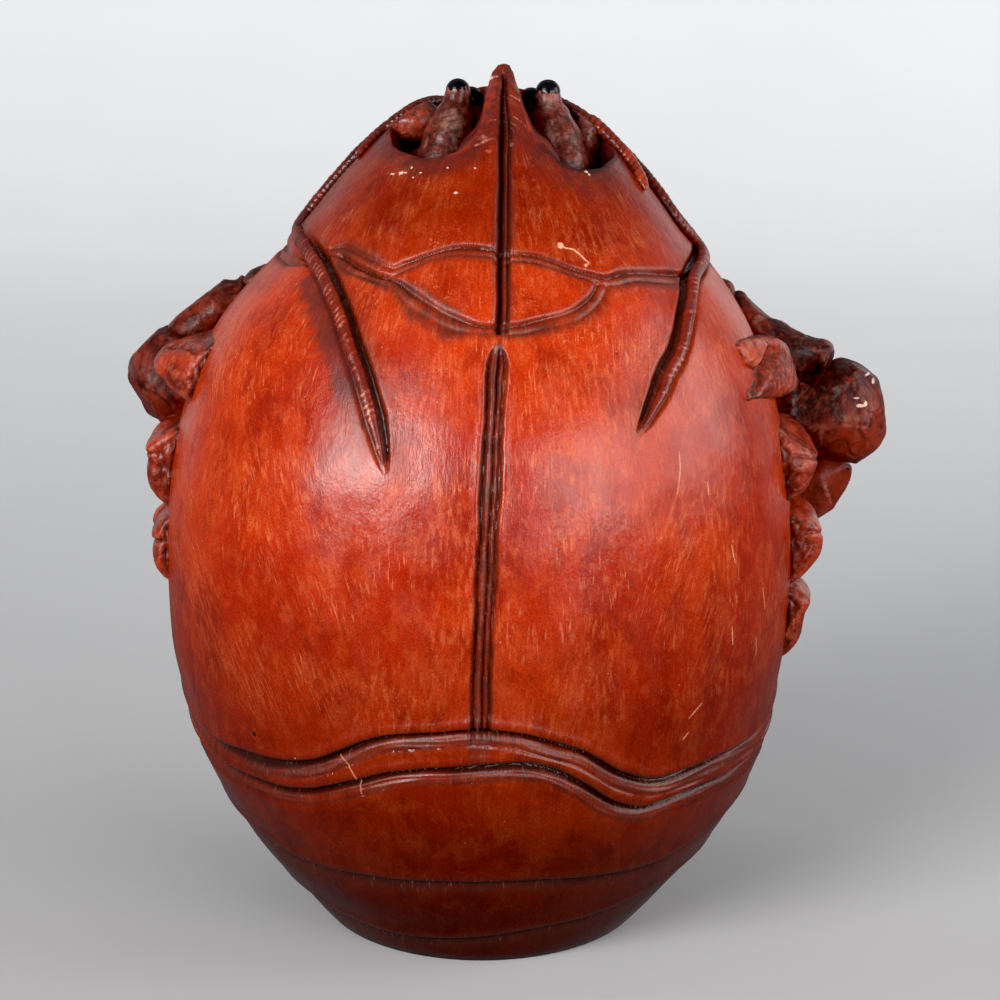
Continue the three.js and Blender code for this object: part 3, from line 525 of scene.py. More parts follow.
def build_body():
    # Rows evenly spaced along the outline, columns evenly spaced by angle, with extra cuts near every carved line.
    zz = np.concatenate([np.linspace(0, 290, 1200), np.linspace(290.2, CROWN_Z, 120)])
    prof = body_point(zz, np.full(len(zz), math.pi / 2))
    s = np.concatenate([[0], np.cumsum(np.linalg.norm(np.diff(prof, axis=0), axis=1))])
    rows = 92
    zr = np.interp(np.linspace(0, s[-1], rows + 1), s, zz)[:-1]
    cols = 176
    bm = bmesh.new()
    grid = [[bm.verts.new((float(j), float(i), 0)) for j in range(cols + 1)] for i in range(rows)]
    for i in range(rows - 1):
        for j in range(cols):
            bm.faces.new((grid[i][j], grid[i][j + 1], grid[i + 1][j + 1], grid[i + 1][j]))

    def place(uv):
        a = (uv[:, 0] / cols - 0.5) * 2 * math.pi
        z = np.interp(uv[:, 1], np.arange(rows), zr)
        return z, a

    near_lines = [LINES[k] for k in ("mid_head", "mid_back", "cerv_1", "cerv_2", "wave_1", "wave_2", "tail_a", "tail_b", "ant_l", "ant_r")]
    for reach, front, mark in ((11.0, 6.0, 5.5), (7.0, 3.6, 3.4), (5.2, -1, 2.2), (-1, -1, 1.4)):
        bm.verts.ensure_lookup_table()
        uv = np.array([v.co[:2] for v in bm.verts])
        z, a = place(uv)
        p = body_point(z, a)
        best = np.full(len(p), 99.0)
        for L in near_lines:
            d, _, o = L.measure(p)
            best = np.minimum(best, np.where(o > 6, 99, np.abs(d)))
        # the front keeps its lines one step coarser
        lim = np.where(np.abs(a) > math.radians(105), front, reach)
        head = (z > 268) & (reach > 6)
        hot = (best < lim) | head | (mark_reach(p) < mark)
        for v, f in zip(bm.verts, hot):
            v.tag = bool(f)
        edges = [e for e in bm.edges if e.verts[0].tag and e.verts[1].tag]
        bmesh.ops.subdivide_edges(bm, edges=edges, cuts=1, use_grid_fill=True)
    bm.verts.ensure_lookup_table()
    uv = np.array([v.co[:2] for v in bm.verts])
    z, a = place(uv)
    p = body_point(z, a)
    n = body_normal(z, a)
    h, _, _ = carve(p)
    edge = smoothstep(0, 4, z)
    deg = np.degrees(a)
    collar = 1.8 * bell(z, 249.0, 4.6) * smoothstep(-62, -74, deg) * smoothstep(-150, -118, deg)
    p2 = p + n * ((h * smoothstep(-1, 3, z) + uneven(p) * edge + collar + 0.55 * wrinkles(p))[:, None])
    p2[:, 2] += rostrum_lift(p)
    p2[:, 2] = np.where(z <= 0, 0, np.maximum(p2[:, 2], 0.02))
    for v, q in zip(bm.verts, to_m(p2).tolist()):
        v.co = q
    bmesh.ops.remove_doubles(bm, verts=[v for v in bm.verts if abs(v.co.x * 1000 + SHIFT[0] - 0) < 30], dist=2e-6)
    # crown
    rim = [e for e in bm.edges if e.is_boundary and min(e.verts[0].co.z, e.verts[1].co.z) > 0.25]
    top = bmesh.ops.contextual_create(bm, geom=rim)
    bmesh.ops.triangulate(bm, faces=top["faces"])
    # foot, vent hole and hollow
    loop = [e for e in bm.edges if e.is_boundary]

    def grow(loop_edges, fn):
        r = bmesh.ops.extrude_edge_only(bm, edges=loop_edges)
        vs = [g for g in r["geom"] if isinstance(g, bmesh.types.BMVert)]
        es = [g for g in r["geom"] if isinstance(g, bmesh.types.BMEdge)]
        for v in vs:
            q = np.array(v.co) * 1000 + SHIFT
            v.co = to_m(fn(q, math.atan2(q[0], -q[1])))
        return es

    ring = lambda r, z0: (lambda q, a0: (r * math.sin(a0), -r * math.cos(a0), z0))
    def inset(z0, k=1.0):
        def fn(q, a0):
            b = body_point(z0, a0)
            m = body_normal(z0, a0)
            f = math.hypot(m[0], m[1])
            c = np.array([F_C(z0), 0, z0])
            w = b - np.array([m[0], m[1], 0]) / f * 6.0 / max(f, 0.6)
            return c + (w - c) * k
        return fn
    loop = grow(loop, lambda q, a0: tuple(np.array(q) * np.array([0.82, 0.82, 0])))
    for fn in (ring(19.0, 0.0), ring(18.0, 0.8), ring(18.0, 8.0), inset(8.0), inset(40.0), inset(104.0), inset(160.0), inset(205.0), inset(230.0, 0.98), inset(246.0, 0.7)):
        loop = grow(loop, fn)
    cap = bmesh.ops.contextual_create(bm, geom=loop)
    bmesh.ops.triangulate(bm, faces=cap["faces"])
    bmesh.ops.recalc_face_normals(bm, faces=bm.faces)
    me = bpy.data.meshes.new("body")
    bm.to_mesh(me)
    bm.free()
    ob = link(bpy.data.objects.new("body", me))

    # Eye hollows.
    for i, (c, r) in enumerate(SOCKETS):
        cut = bmesh.new()
        bmesh.ops.create_icosphere(cut, subdivisions=5, radius=1.0)
        q = np.array([v.co for v in cut.verts])
        w = q * np.array(r) + np.array(c)
        w = w + q * (0.9 * field(w, 0.09, 7.0 + i, 2))[:, None]
        # straight up above the middle, and held off the rostrum
        w[:, 2] += np.where(q[:, 2] > 0, 14.0 * q[:, 2], 0)
        side = np.interp(w[:, 2], HORN_Z, HORN_L if i == 0 else HORN_R)
        reach = 1 + 0.6 * smoothstep(284, 296, w[:, 2]) * smoothstep(14, 4, w[:, 1])
        near = q[:, 0] > 0 if i == 0 else q[:, 0] < 0
        w[:, 0] = np.where(near, c[0] + (w[:, 0] - c[0]) * reach, w[:, 0])
        if i == 0:
            w[:, 0] = np.minimum(w[:, 0], side)
        else:
            w[:, 0] = np.maximum(w[:, 0], side)
        for v, x in zip(cut.verts, to_m(w).tolist()):
            v.co = x
        cme = bpy.data.meshes.new("cut")
        cut.to_mesh(cme)
        cut.free()
        cob = link(bpy.data.objects.new("cut", cme))
        mod = ob.modifiers.new("cut", "BOOLEAN")
        mod.operation = "DIFFERENCE"
        mod.solver = "EXACT"
        mod.object = cob
        me = bake_modifiers(ob)
        bpy.data.objects.remove(cob)
        bpy.data.meshes.remove(cme)

    p = coords(me) * 1000 + SHIFT
    # soften the rims a little
    e = edges_of(me)
    val = np.full(len(p), 9.0)
    for c, r in SOCKETS:
        v = np.sqrt((((p - np.array(c)) / np.array(r)) ** 2).sum(1))
        val = np.minimum(val, np.abs(v - 1.0))
    inside = np.zeros(len(p))
    for c, r in SOCKETS:
        v = np.sqrt((((p - np.array(c)) / np.array(r)) ** 2).sum(1))
        inside = np.maximum(inside, smoothstep(1.085, 1.055, v))
    sm = relax(p, e, 2, 0.5)
    k = (smoothstep(0.10, 0.05, val) * (p[:, 2] > 262))[:, None]
    p = p + (sm - p) * k * 0.6
    tip = smoothstep(300.5, 303.5, p[:, 2])[:, None]
    p = p + (relax(p, e, 6, 0.5) - p) * tip
    set_coords(me, to_m(p))
    me.polygons.foreach_set("use_smooth", [True] * len(me.polygons))
    me.set_sharp_from_angle(angle=math.radians(58))
    h, wash, core = carve(p)
    outer = (p[:, 2] >= 0)
    attribute(me, "wash", wash * outer)
    attribute(me, "core", core * outer)
    attribute(me, "hollow", inside * (p[:, 2] > 262))
    # darker paint round the rims of the hollows, up the sides of the rostrum and over its tip
    cloud = field(p, 0.11, 15.0, 2)
    rim_and_horn_dark = np.zeros(len(p))
    for (c, r), reach in zip(SOCKETS, (1.48, 1.66)):
        v = np.sqrt((((p - np.array(c)) / np.array(r)) ** 2).sum(1)) + 0.14 * cloud
        rim_and_horn_dark = np.maximum(rim_and_horn_dark, 0.80 * smoothstep(reach, 1.10, v) + 0.20 * smoothstep(1.30, 1.06, v))
    horn = smoothstep(279, 292, p[:, 2]) * smoothstep(17, 12, np.abs(p[:, 0] - 8.7))
    rim_and_horn_dark = np.maximum(rim_and_horn_dark, horn * (0.44 + 0.5 * cloud))
    rim_and_horn_dark = np.maximum(rim_and_horn_dark, smoothstep(297, 302, p[:, 2]) * (0.92 + 0.3 * cloud))
    attribute(me, "horn", horn)
    attribute(me, "wrinkle", wrinkles(p))
    attribute(me, "rim_and_horn_dark", np.clip(rim_and_horn_dark, 0, 1) * (p[:, 2] > 245))
    attribute(me, "mark", marked(p))
    attribute(me, "stain", stained(p))
    return ob


# ---------------------------------------------------------------------------
# Materials.

class Nodes:
    def __init__(self, name):
        self.mat = bpy.data.materials.new(name)
        self.mat.use_nodes = True
        self.t = self.mat.node_tree
        self.t.nodes.clear()
        self.out = self.t.nodes.new("ShaderNodeOutputMaterial")
        self.bsdf = self.t.nodes.new("ShaderNodeBsdfPrincipled")
        self.t.links.new(self.bsdf.outputs[0], self.out.inputs[0])
        tc = self.t.nodes.new("ShaderNodeTexCoord")
        self.pos = tc.outputs["Object"]

    def put(self, value, socket):
        if isinstance(value, bpy.types.NodeSocket):
            self.t.links.new(value, socket)
        elif value is not None:
            socket.default_value = value

    def attr(self, name):
        n = self.t.nodes.new("ShaderNodeAttribute")
        n.attribute_name = name
        return n.outputs["Fac"]

    def scaled(self, sx, sy, sz, src=None):
        n = self.t.nodes.new("ShaderNodeMapping")
        self.put(src or self.pos, n.inputs["Vector"])
        n.inputs["Scale"].default_value = (sx, sy, sz)
        return n.outputs[0]

    def turned(self, angle):
        """Object coordinates turned about the depth axis."""
        n = self.t.nodes.new("ShaderNodeMapping")
        self.put(self.pos, n.inputs["Vector"])
        n.inputs["Rotation"].default_value = (0, angle, 0)
        return n.outputs[0]

    def lerp(self, fac, a, b):
        n = self.t.nodes.new("ShaderNodeMix")
        n.data_type = "FLOAT"
        self.put(fac, n.inputs[0])
        self.put(a, n.inputs[2])
        self.put(b, n.inputs[3])
        return n.outputs[0]

    def tint(self, col, k):
        """Colour times a number."""
        n = self.t.nodes.new("ShaderNodeVectorMath")
        n.operation = "SCALE"
        self.put(col, n.inputs[0])
        self.put(k, n.inputs["Scale"])
        return n.outputs[0]

    def noise(self, vec=None, scale=1.0, detail=2.0, rough=0.5, distort=0.0):
        n = self.t.nodes.new("ShaderNodeTexNoise")
        self.put(vec or self.pos, n.inputs["Vector"])
        n.inputs["Scale"].default_value = scale
        n.inputs["Detail"].default_value = detail
        n.inputs["Roughness"].default_value = rough
        n.inputs["Distortion"].default_value = distort
        return n.outputs["Fac"]

    def voronoi(self, vec=None, scale=1.0, feature="F1"):
        n = self.t.nodes.new("ShaderNodeTexVoronoi")
        n.feature = feature
        self.put(vec or self.pos, n.inputs["Vector"])
        n.inputs["Scale"].default_value = scale
        return n.outputs["Distance"]

    def ramp(self, fac, stops):
        n = self.t.nodes.new("ShaderNodeMapRange")
        n.interpolation_type = "SMOOTHSTEP"
        self.put(fac, n.inputs["Value"])
        n.inputs["From Min"].default_value, n.inputs["From Max"].default_value = stops[0], stops[1]
        n.inputs["To Min"].default_value, n.inputs["To Max"].default_value = stops[2], stops[3]
        return n.outputs[0]

    def math(self, op, a, b=None, c=None, clamp=False):
        n = self.t.nodes.new("ShaderNodeMath")
        n.operation = op
        n.use_clamp = clamp
        for v, s in zip((a, b, c), n.inputs):
            self.put(v, s)
        return n.outputs[0]

    def mix(self, fac, a, b, mode="MIX"):
        n = self.t.nodes.new("ShaderNodeMix")
        n.data_type = "RGBA"
        n.blend_type = mode
        self.put(fac, n.inputs["Factor"])
        for v, s in ((a, n.inputs[6]), (b, n.inputs[7])):
            if isinstance(v, tuple):
                v = (*v, 1.0)
            self.put(v, s)
        return n.outputs[2]

    def sep(self, vec=None):
        n = self.t.nodes.new("ShaderNodeSeparateXYZ")
        self.put(vec or self.pos, n.inputs[0])
        return n.outputs

    def bump(self, height, strength, distance, under=None):
        n = self.t.nodes.new("ShaderNodeBump")
        n.inputs["Strength"].default_value = strength
        n.inputs["Distance"].default_value = distance
        self.put(height, n.inputs["Height"])
        if under is not None:
            self.put(under, n.inputs["Normal"])
        return n.outputs[0]

    def patch(self, centre_mm, size_mm, stretch=(1, 1, 1)):
        """1 in the middle of a wide cloudy area, fading outwards."""
        m = self.t.nodes.new("ShaderNodeVectorMath")
        m.operation = "SUBTRACT"
        self.put(self.pos, m.inputs[0])
        m.inputs[1].default_value = tuple(to_m(centre_mm))
        k = self.t.nodes.new("ShaderNodeVectorMath")
        k.operation = "MULTIPLY"
        self.put(m.outputs[0], k.inputs[0])
        k.inputs[1].default_value = tuple(1000.0 / size_mm / s for s in stretch)
        ln = self.t.nodes.new("ShaderNodeVectorMath")
        ln.operation = "LENGTH"
        self.put(k.outputs[0], ln.inputs[0])
        w = self.math("MULTIPLY_ADD", self.noise(self.pos, 170.0, 4.0, 0.65), 1.1, ln.outputs["Value"])
        return self.ramp(w, (1.95, 0.95, 0, 1))

    def near(self, centre_mm, size_mm, stretch=(1, 1, 1), seed=0.0, rag=0.45):
        """1 inside a ragged spot round a point on the object."""
        c = to_m(centre_mm)
        m = self.t.nodes.new("ShaderNodeVectorMath")
        m.operation = "SUBTRACT"
        self.put(self.pos, m.inputs[0])
        m.inputs[1].default_value = tuple(c)
        k = self.t.nodes.new("ShaderNodeVectorMath")
        k.operation = "MULTIPLY"
        self.put(m.outputs[0], k.inputs[0])
        k.inputs[1].default_value = tuple(1000.0 / size_mm / s for s in stretch)
        ln = self.t.nodes.new("ShaderNodeVectorMath")
        ln.operation = "LENGTH"
        self.put(k.outputs[0], ln.inputs[0])
        nz = self.noise(self.pos, 1900.0 / max(size_mm, 0.6) ** 0.6 + 37 * seed, 3.0, 0.7)
        w = self.math("MULTIPLY_ADD", nz, rag * 2, ln.outputs["Value"])
        return self.ramp(w, (1.0 + rag + 0.06, 1.0 + rag - 0.06, 0, 1))


DARK = (0.020, 0.0065, 0.0050)
BROWN = (0.075, 0.016, 0.010)
CHIP = (0.74, 0.50, 0.40)


def shell_material():
    m = Nodes("shell_paint")
    x, y, z = m.sep()
    turn = m.math("ARCTAN2", m.math("ADD", x, SHIFT[0] / 1000), m.math("SUBTRACT", -SHIFT[1] / 1000, y))
    gather = m.math("MULTIPLY", turn, m.math("EXPONENT", m.math("MULTIPLY_ADD", z, -6.0, 0.9)))

    def brush(u, wide, long, seed):
        """Coordinates drawn out along the brush: round the body over up it (mm)."""
        n = m.t.nodes.new("ShaderNodeCombineXYZ")
        m.put(m.math("MULTIPLY", u, 105.0 / wide), n.inputs[0])
        m.put(m.math("MULTIPLY", z, 1000.0 / long), n.inputs[1])
        n.inputs[2].default_value = seed
        return n.outputs[0]
    # paint: brushed coats of red-orange, thinner and lighter in patches
    broad = m.ramp(m.noise(None, 15.0, 3.0, 0.55), (0.34, 0.68, 0, 1))
    col = m.mix(broad, (0.43, 0.018, 0.0020), (0.60, 0.043, 0.0045))
    blot = m.ramp(m.noise(m.scaled(1, 1, 0.6), 62.0, 4.0, 0.62, 0.5), (0.43, 0.68, 0, 0.72))
    col = m.mix(blot, col, (0.28, 0.0105, 0.0022))
    cloud = m.ramp(m.noise(m.scaled(1, 1, 0.7), 150.0, 5.0, 0.70, 0.4), (0.46, 0.68, 0, 0.62))
    col = m.mix(cloud, col, (0.62, 0.070, 0.013))
    # fibrous rubbed strokes, some up the body, some gathering towards the foot
    pick = m.ramp(m.noise(None, 19.0, 2.0, 0.5), (0.44, 0.56, 0, 1))
    fib_a = m.noise(brush(turn, 1.7, 7.5, 0.0), 1.0, 5.0, 0.70)
    fib_b = m.noise(brush(gather, 1.6, 6.5, 4.3), 1.0, 5.0, 0.70)
    fib = m.lerp(pick, fib_a, fib_b)
    where = m.ramp(m.noise(None, 30.0, 3.0, 0.6), (0.42, 0.62, 0.10, 1.0))
    where = m.math("MULTIPLY", where, m.ramp(z, (0.060, 0.125, 0.20, 1.0)))
    soft = m.math("MULTIPLY", m.ramp(fib, (0.47, 0.66, 0, 0.80)), where)
    col = m.mix(soft, col, (0.72, 0.125, 0.032))
    deep = m.ramp(fib, (0.46, 0.28, 0, 0.36))
    col = m.mix(deep, col, (0.32, 0.0125, 0.0024))
    # short hard scratches in loose clusters
    flock = m.ramp(m.noise(None, 52.0, 3.0, 0.6), (0.44, 0.62, 0, 1))
    flock = m.math("MULTIPLY", flock, m.ramp(z, (0.085, 0.12, 0.25, 1.0)))
    nick_a = m.ramp(m.noise(brush(turn, 0.95, 8.0, 9.1), 1.0, 3.0, 0.6), (0.560, 0.69, 0, 1))
    nick_b = m.ramp(m.noise(brush(gather, 0.85, 5.5, 2.7), 1.0, 3.0, 0.6), (0.560, 0.69, 0, 1))
    nick = m.math("MULTIPLY", m.lerp(pick, nick_a, nick_b), flock)
    col = m.mix(m.math("MULTIPLY", nick, 0.70), col, (0.80, 0.205, 0.088))
    # pinpoint specks and small rubbed flecks
    dots = m.ramp(m.voronoi(None, 260.0), (0.075, 0.045, 0, 1))
    dots = m.math("MULTIPLY", dots, m.ramp(m.noise(None, 60.0, 1.0), (0.54, 0.63, 0, 0.85)))
    col = m.mix(dots, col, (0.84, 0.36, 0.22))
    fleck = m.ramp(m.noise(None, 620.0, 3.0, 0.65, 0.6), (0.575, 0.70, 0, 0.85))
    fleck = m.math("MULTIPLY", fleck, m.math("MULTIPLY", m.ramp(m.noise(None, 70.0, 2.0, 0.6), (0.48, 0.62, 0, 1)), m.ramp(z, (0.195, 0.225, 0.0, 1.0))))
    col = m.mix(fleck, col, (0.74, 0.17, 0.07))
    grain = m.ramp(m.noise(None, 1700.0, 3.0, 0.65), (0.3, 0.7, 0.72, 1.26))
    col = m.tint(col, grain)
    # painted shade: the paint darkens towards the foot and towards the top of the head, standing in for the shade there
    low = m.ramp(z, (0.066, 0.170, 0.36, 0.82))
    foot_shade = m.ramp(z, (0.012, 0.090, 0.30, 1.0))
    head_shade = m.ramp(z, (0.232, 0.266, 1.0, 0.58))
    col = m.tint(col, m.math("MULTIPLY", m.math("MULTIPLY", low, foot_shade), head_shade))
    # dark wash in and beside the cuts
    wn = m.noise(brush(turn, 2.6, 7.0, 6.6), 1.0, 4.0, 0.65)
    wash = m.math("MULTIPLY", m.attr("wash"), m.ramp(wn, (0.28, 0.72, 0.60, 1.16)), clamp=True)
    rim_and_horn_dark = m.math("MULTIPLY", m.attr("rim_and_horn_dark"), m.ramp(m.noise(None, 210.0, 4.0, 0.65), (0.32, 0.68, 0.52, 1.15)), clamp=True)
    col = m.mix(m.math("MULTIPLY", rim_and_horn_dark, 0.86, clamp=True), col, (0.085, 0.015, 0.012))
    stain = m.math("MULTIPLY", m.attr("stain"), m.ramp(m.noise(None, 90.0, 4.0, 0.65), (0.30, 0.70, 0.62, 0.96)))
    col = m.mix(stain, col, (0.125, 0.021, 0.017))
    col = m.mix(m.math("MULTIPLY", wash, 0.86, clamp=True), col, BROWN)
    # line cores: dark paint in the cuts, and painted shade under their lips
    col = m.mix(m.math("MULTIPLY", m.attr("core"), 0.96, clamp=True), col, DARK)
    # rubbed hairlines through the wash
    bare = m.math("MULTIPLY", m.ramp(m.noise(brush(turn, 0.9, 5.0, 1.4), 1.0, 3.0, 0.6), (0.60, 0.70, 0, 0.28)), wash)
    col = m.mix(bare, col, (0.46, 0.16, 0.12))
    # pale wrinkles up the rostrum
    wr = m.math("MULTIPLY", m.ramp(m.attr("wrinkle"), (0.35, 0.85, 0, 0.9)), m.ramp(m.noise(None, 420.0, 3.0, 0.6), (0.36, 0.58, 0.1, 1.0)))
    col = m.mix(wr, col, (0.64, 0.22, 0.145))
    # painted shade inside the eye hollows: near black low down, redder towards their rims
    hol = m.attr("hollow")
    up = m.ramp(z, (0.270, 0.287, 0.0, 1.0))
    hn = m.math("MULTIPLY", m.ramp(m.noise(None, 150.0, 4.0, 0.6), (0.36, 0.62, 0.25, 1)), up)
    hollow_shade = m.mix(hn, (0.014, 0.0035, 0.003), (0.30, 0.026, 0.012))
    col = m.mix(hol, col, hollow_shade)
    # chips and scratches down to the pale ground
    for i, (c, r, st) in enumerate(CHIPS):
        col = m.mix(m.near(c, r, st, i, 1.5), col, CHIP)
    for i, (c, r) in enumerate(STAINS):
        col = m.mix(m.near(c, r, (1, 1, 1), 20.0 + i, 0.3), col, (0.035, 0.006, 0.005))
    col = m.mix(m.math("MULTIPLY", m.attr("mark"), m.ramp(m.noise(None, 1500.0, 2.0, 0.6), (0.32, 0.50, 0.35, 1.0))), col, (0.86, 0.40, 0.24))
    m.put(col, m.bsdf.inputs["Base Color"])
    rough = m.ramp(m.noise(brush(turn, 9.0, 22.0, 3.3), 1.0, 3.0, 0.6), (0.3, 0.7, 0.175, 0.31))
    rough = m.math("ADD", rough, m.math("MULTIPLY", soft, 0.10))
    rough = m.math("ADD", rough, m.math("MULTIPLY", wash, 0.14))
    rough = m.math("SUBTRACT", rough, m.math("MULTIPLY", m.attr("core"), 0.17))
    rough = m.math("ADD", rough, m.math("MULTIPLY", hol, 0.25))
    m.put(rough, m.bsdf.inputs["Roughness"])
    b = m.bump(m.math("MULTIPLY", fib, m.math("MULTIPLY_ADD", m.attr("wash"), 1.6, 1.0)), 0.24, 0.0007)
    b = m.bump(m.noise(None, 115.0, 4.0, 0.62), 0.20, 0.0012, b)
    b = m.bump(m.noise(None, 1500.0, 2.0, 0.6), 0.10, 0.0002, b)
    m.put(b, m.bsdf.inputs["Normal"])
    m.bsdf.inputs["IOR"].default_value = 1.5
    m.bsdf.inputs["Specular IOR Level"].default_value = 0.36
    return m.mat


CHIPS = [((-28.9, -27.7, 272.3), 0.55, (2.2, 1.5, 0.55)), ((-26.1, -29.4, 272.8), 0.75, (1.3, 1.3, 0.9)), ((-24.6, -29.9, 273.1), 0.5, (1.5, 1.5, 0.5)),
         ((-22.7, -29.2, 274.6), 0.5, (0.7, 1, 1.3)), ((-19.5, -32.6, 273.4), 0.42, (1.5, 1, 0.7)), ((-10.4, -34.0, 275.3), 0.42, (1, 1, 1)), ((-1.1, -35.8, 275.4), 0.38, (1, 1, 1)),
         ((-7.5, -42.9, 268.2), 0.55, (1.2, 1, 0.8)), ((-22.2, -33.2, 271.8), 0.42, (0.7, 1, 1.3)), ((36.8, -27.8, 273.0), 0.6, (1.2, 1, 0.8)),
         ((37.8, -28.3, 272.1), 0.5, (0.8, 1, 1.2)), ((4.6, -2.0, 302.0), 1.0, (1.7, 1.5, 0.6)), ((6.2, -3.0, 301.4), 0.7, (1.3, 1.5, 0.6)), ((-62.4, -85.2, 81.0), 0.45, (1, 1, 1)),
         ((-12.1, -103.8, 83.9), 0.4, (1, 1, 1)), ((-32.1, -98.3, 74.7), 0.45, (1, 1, 1)), ((39.7, -97.3, 83.8), 0.4, (1, 1, 1)),
         ((25.1, -101.4, 82.2), 0.5, (1, 1, 1)), ((36.8, -99.8, 98.0), 0.35, (1, 1, 1))]
STAINS = [((-77.1, -74.2, 86.2), 1.1), ((-79.9, -71.0, 83.2), 0.6), ((26.7, -100.4, 159.0), 0.4)]

BODY_OB = build_body()
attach(BODY_OB, "root")
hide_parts("body_shell")
BODY_OB.data.materials.append(shell_material())

# ---------------------------------------------------------------------------
# Modelled lumps: distance fields (mm) turned into closed meshes.
LEAN = math.radians(14.5)          # limb outlines are drawn on a plane that leans back by this much
FACE_UP = np.array([0.0, math.sin(LEAN), math.cos(LEAN)])
FACE_IN = np.array([0.0, math.cos(LEAN), -math.sin(LEAN)])


def smin(a, b, k):
    h = np.clip(0.5 + 0.5 * (b - a) / k, 0, 1)
    return b * (1 - h) + a * h - k * h * (1 - h)


def smax(a, b, k):
    return -smin(-a, -b, k)


def ball(p, c, r, turn=None):
    q = p - np.asarray(c, float)
    if turn is not None:
        q = q @ turn
    r = np.asarray(r, float) * np.ones(3)
    k0 = np.linalg.norm(q / r, axis=1)
    k1 = np.linalg.norm(q / (r * r), axis=1)
    return k0 * (k0 - 1) / np.maximum(k1, 1e-9)


def limb(p, pts, radii, k=1.5, flat=None):
    """Chain of tapering round segments. flat = (direction, share): thickness along that direction."""
    d = None
    pts = [np.asarray(v, float) for v in pts]
    for i in range(len(pts) - 1):
        a, ab = pts[i], pts[i + 1] - pts[i]
        t = np.clip((p - a) @ ab / (ab @ ab), 0, 1)
        r = p - a - t[:, None] * ab
        if flat is not None:
            n = np.asarray(flat[0][i], float)
            r = r + (r @ n)[:, None] * n * (1 / flat[1] - 1)
        e = np.linalg.norm(r, axis=1) - (radii[i] + (radii[i + 1] - radii[i]) * t)
        d = e if d is None else smin(d, e, k)
    return d


class Flat:
    """Signed distance to a smooth closed outline in a plane, kept on a fine grid."""

    def __init__(self, poly, smooth=True, pad=9.0, step=0.4):
        poly = np.asarray(poly, float)
        if smooth:
            n = len(poly)
            loop = np.vstack([poly[-2:], poly, poly[:3]])
            t = np.linspace(0, n, n * 5, endpoint=False)
            i = t.astype(int)
            u = (t - i)[:, None]
            a, b, c, d = loop[i + 1], loop[i + 2], loop[i + 3], loop[np.minimum(i + 4, len(loop) - 1)]
            poly = 0.5 * (2 * b + (c - a) * u + (2 * a - 5 * b + 4 * c - d) * u ** 2 + (3 * b - a - 3 * c + d) * u ** 3)
        self.lo = poly.min(0) - pad
        n = np.ceil((poly.max(0) + pad - self.lo) / step).astype(int) + 1
        g = np.stack(np.meshgrid(*(self.lo[k] + step * np.arange(n[k]) for k in (0, 1)), indexing="ij"), -1).reshape(-1, 2)
        best = np.full(len(g), 1e9)
        s = np.ones(len(g))
        for i in range(len(poly)):
            a, b = poly[i], poly[i - 1]
            e, w = b - a, g - a
            t = np.clip(w @ e / max(e @ e, 1e-12), 0, 1)
            r = w - t[:, None] * e
            best = np.minimum(best, (r * r).sum(1))
            c1, c2, c3 = g[:, 1] >= a[1], g[:, 1] < b[1], e[0] * w[:, 1] > e[1] * w[:, 0]
            s = np.where((c1 & c2 & c3) | (~c1 & ~c2 & ~c3), -s, s)
        self.d = (s * np.sqrt(best)).reshape(n)
        self.step, self.n = step, n

    def __call__(self, q):
        t = np.clip((q - self.lo) / self.step, 0, self.n - 1.001)
        i = t.astype(int)
        u = t - i
        d = self.d
        x, y = i[:, 0], i[:, 1]
        return ((d[x, y] * (1 - u[:, 0]) + d[x + 1, y] * u[:, 0]) * (1 - u[:, 1])
                + (d[x, y + 1] * (1 - u[:, 0]) + d[x + 1, y + 1] * u[:, 0]) * u[:, 1])


def pillow(p, centre, flat, half, edge, bow=0.0):
    """Rounded slab with the given outline on the leaning plane."""
    q = p - np.asarray(centre, float)
    d = flat(np.stack([q[:, 0], q @ FACE_UP], 1))
    w = q @ FACE_IN + bow * q[:, 0]
    th = half * np.sqrt(np.maximum(1 - (1 - np.clip(-d / edge, 0, 1)) ** 2, 0))
    return np.where(d > 0, np.hypot(d, w), (np.abs(w) - th) * 0.8)


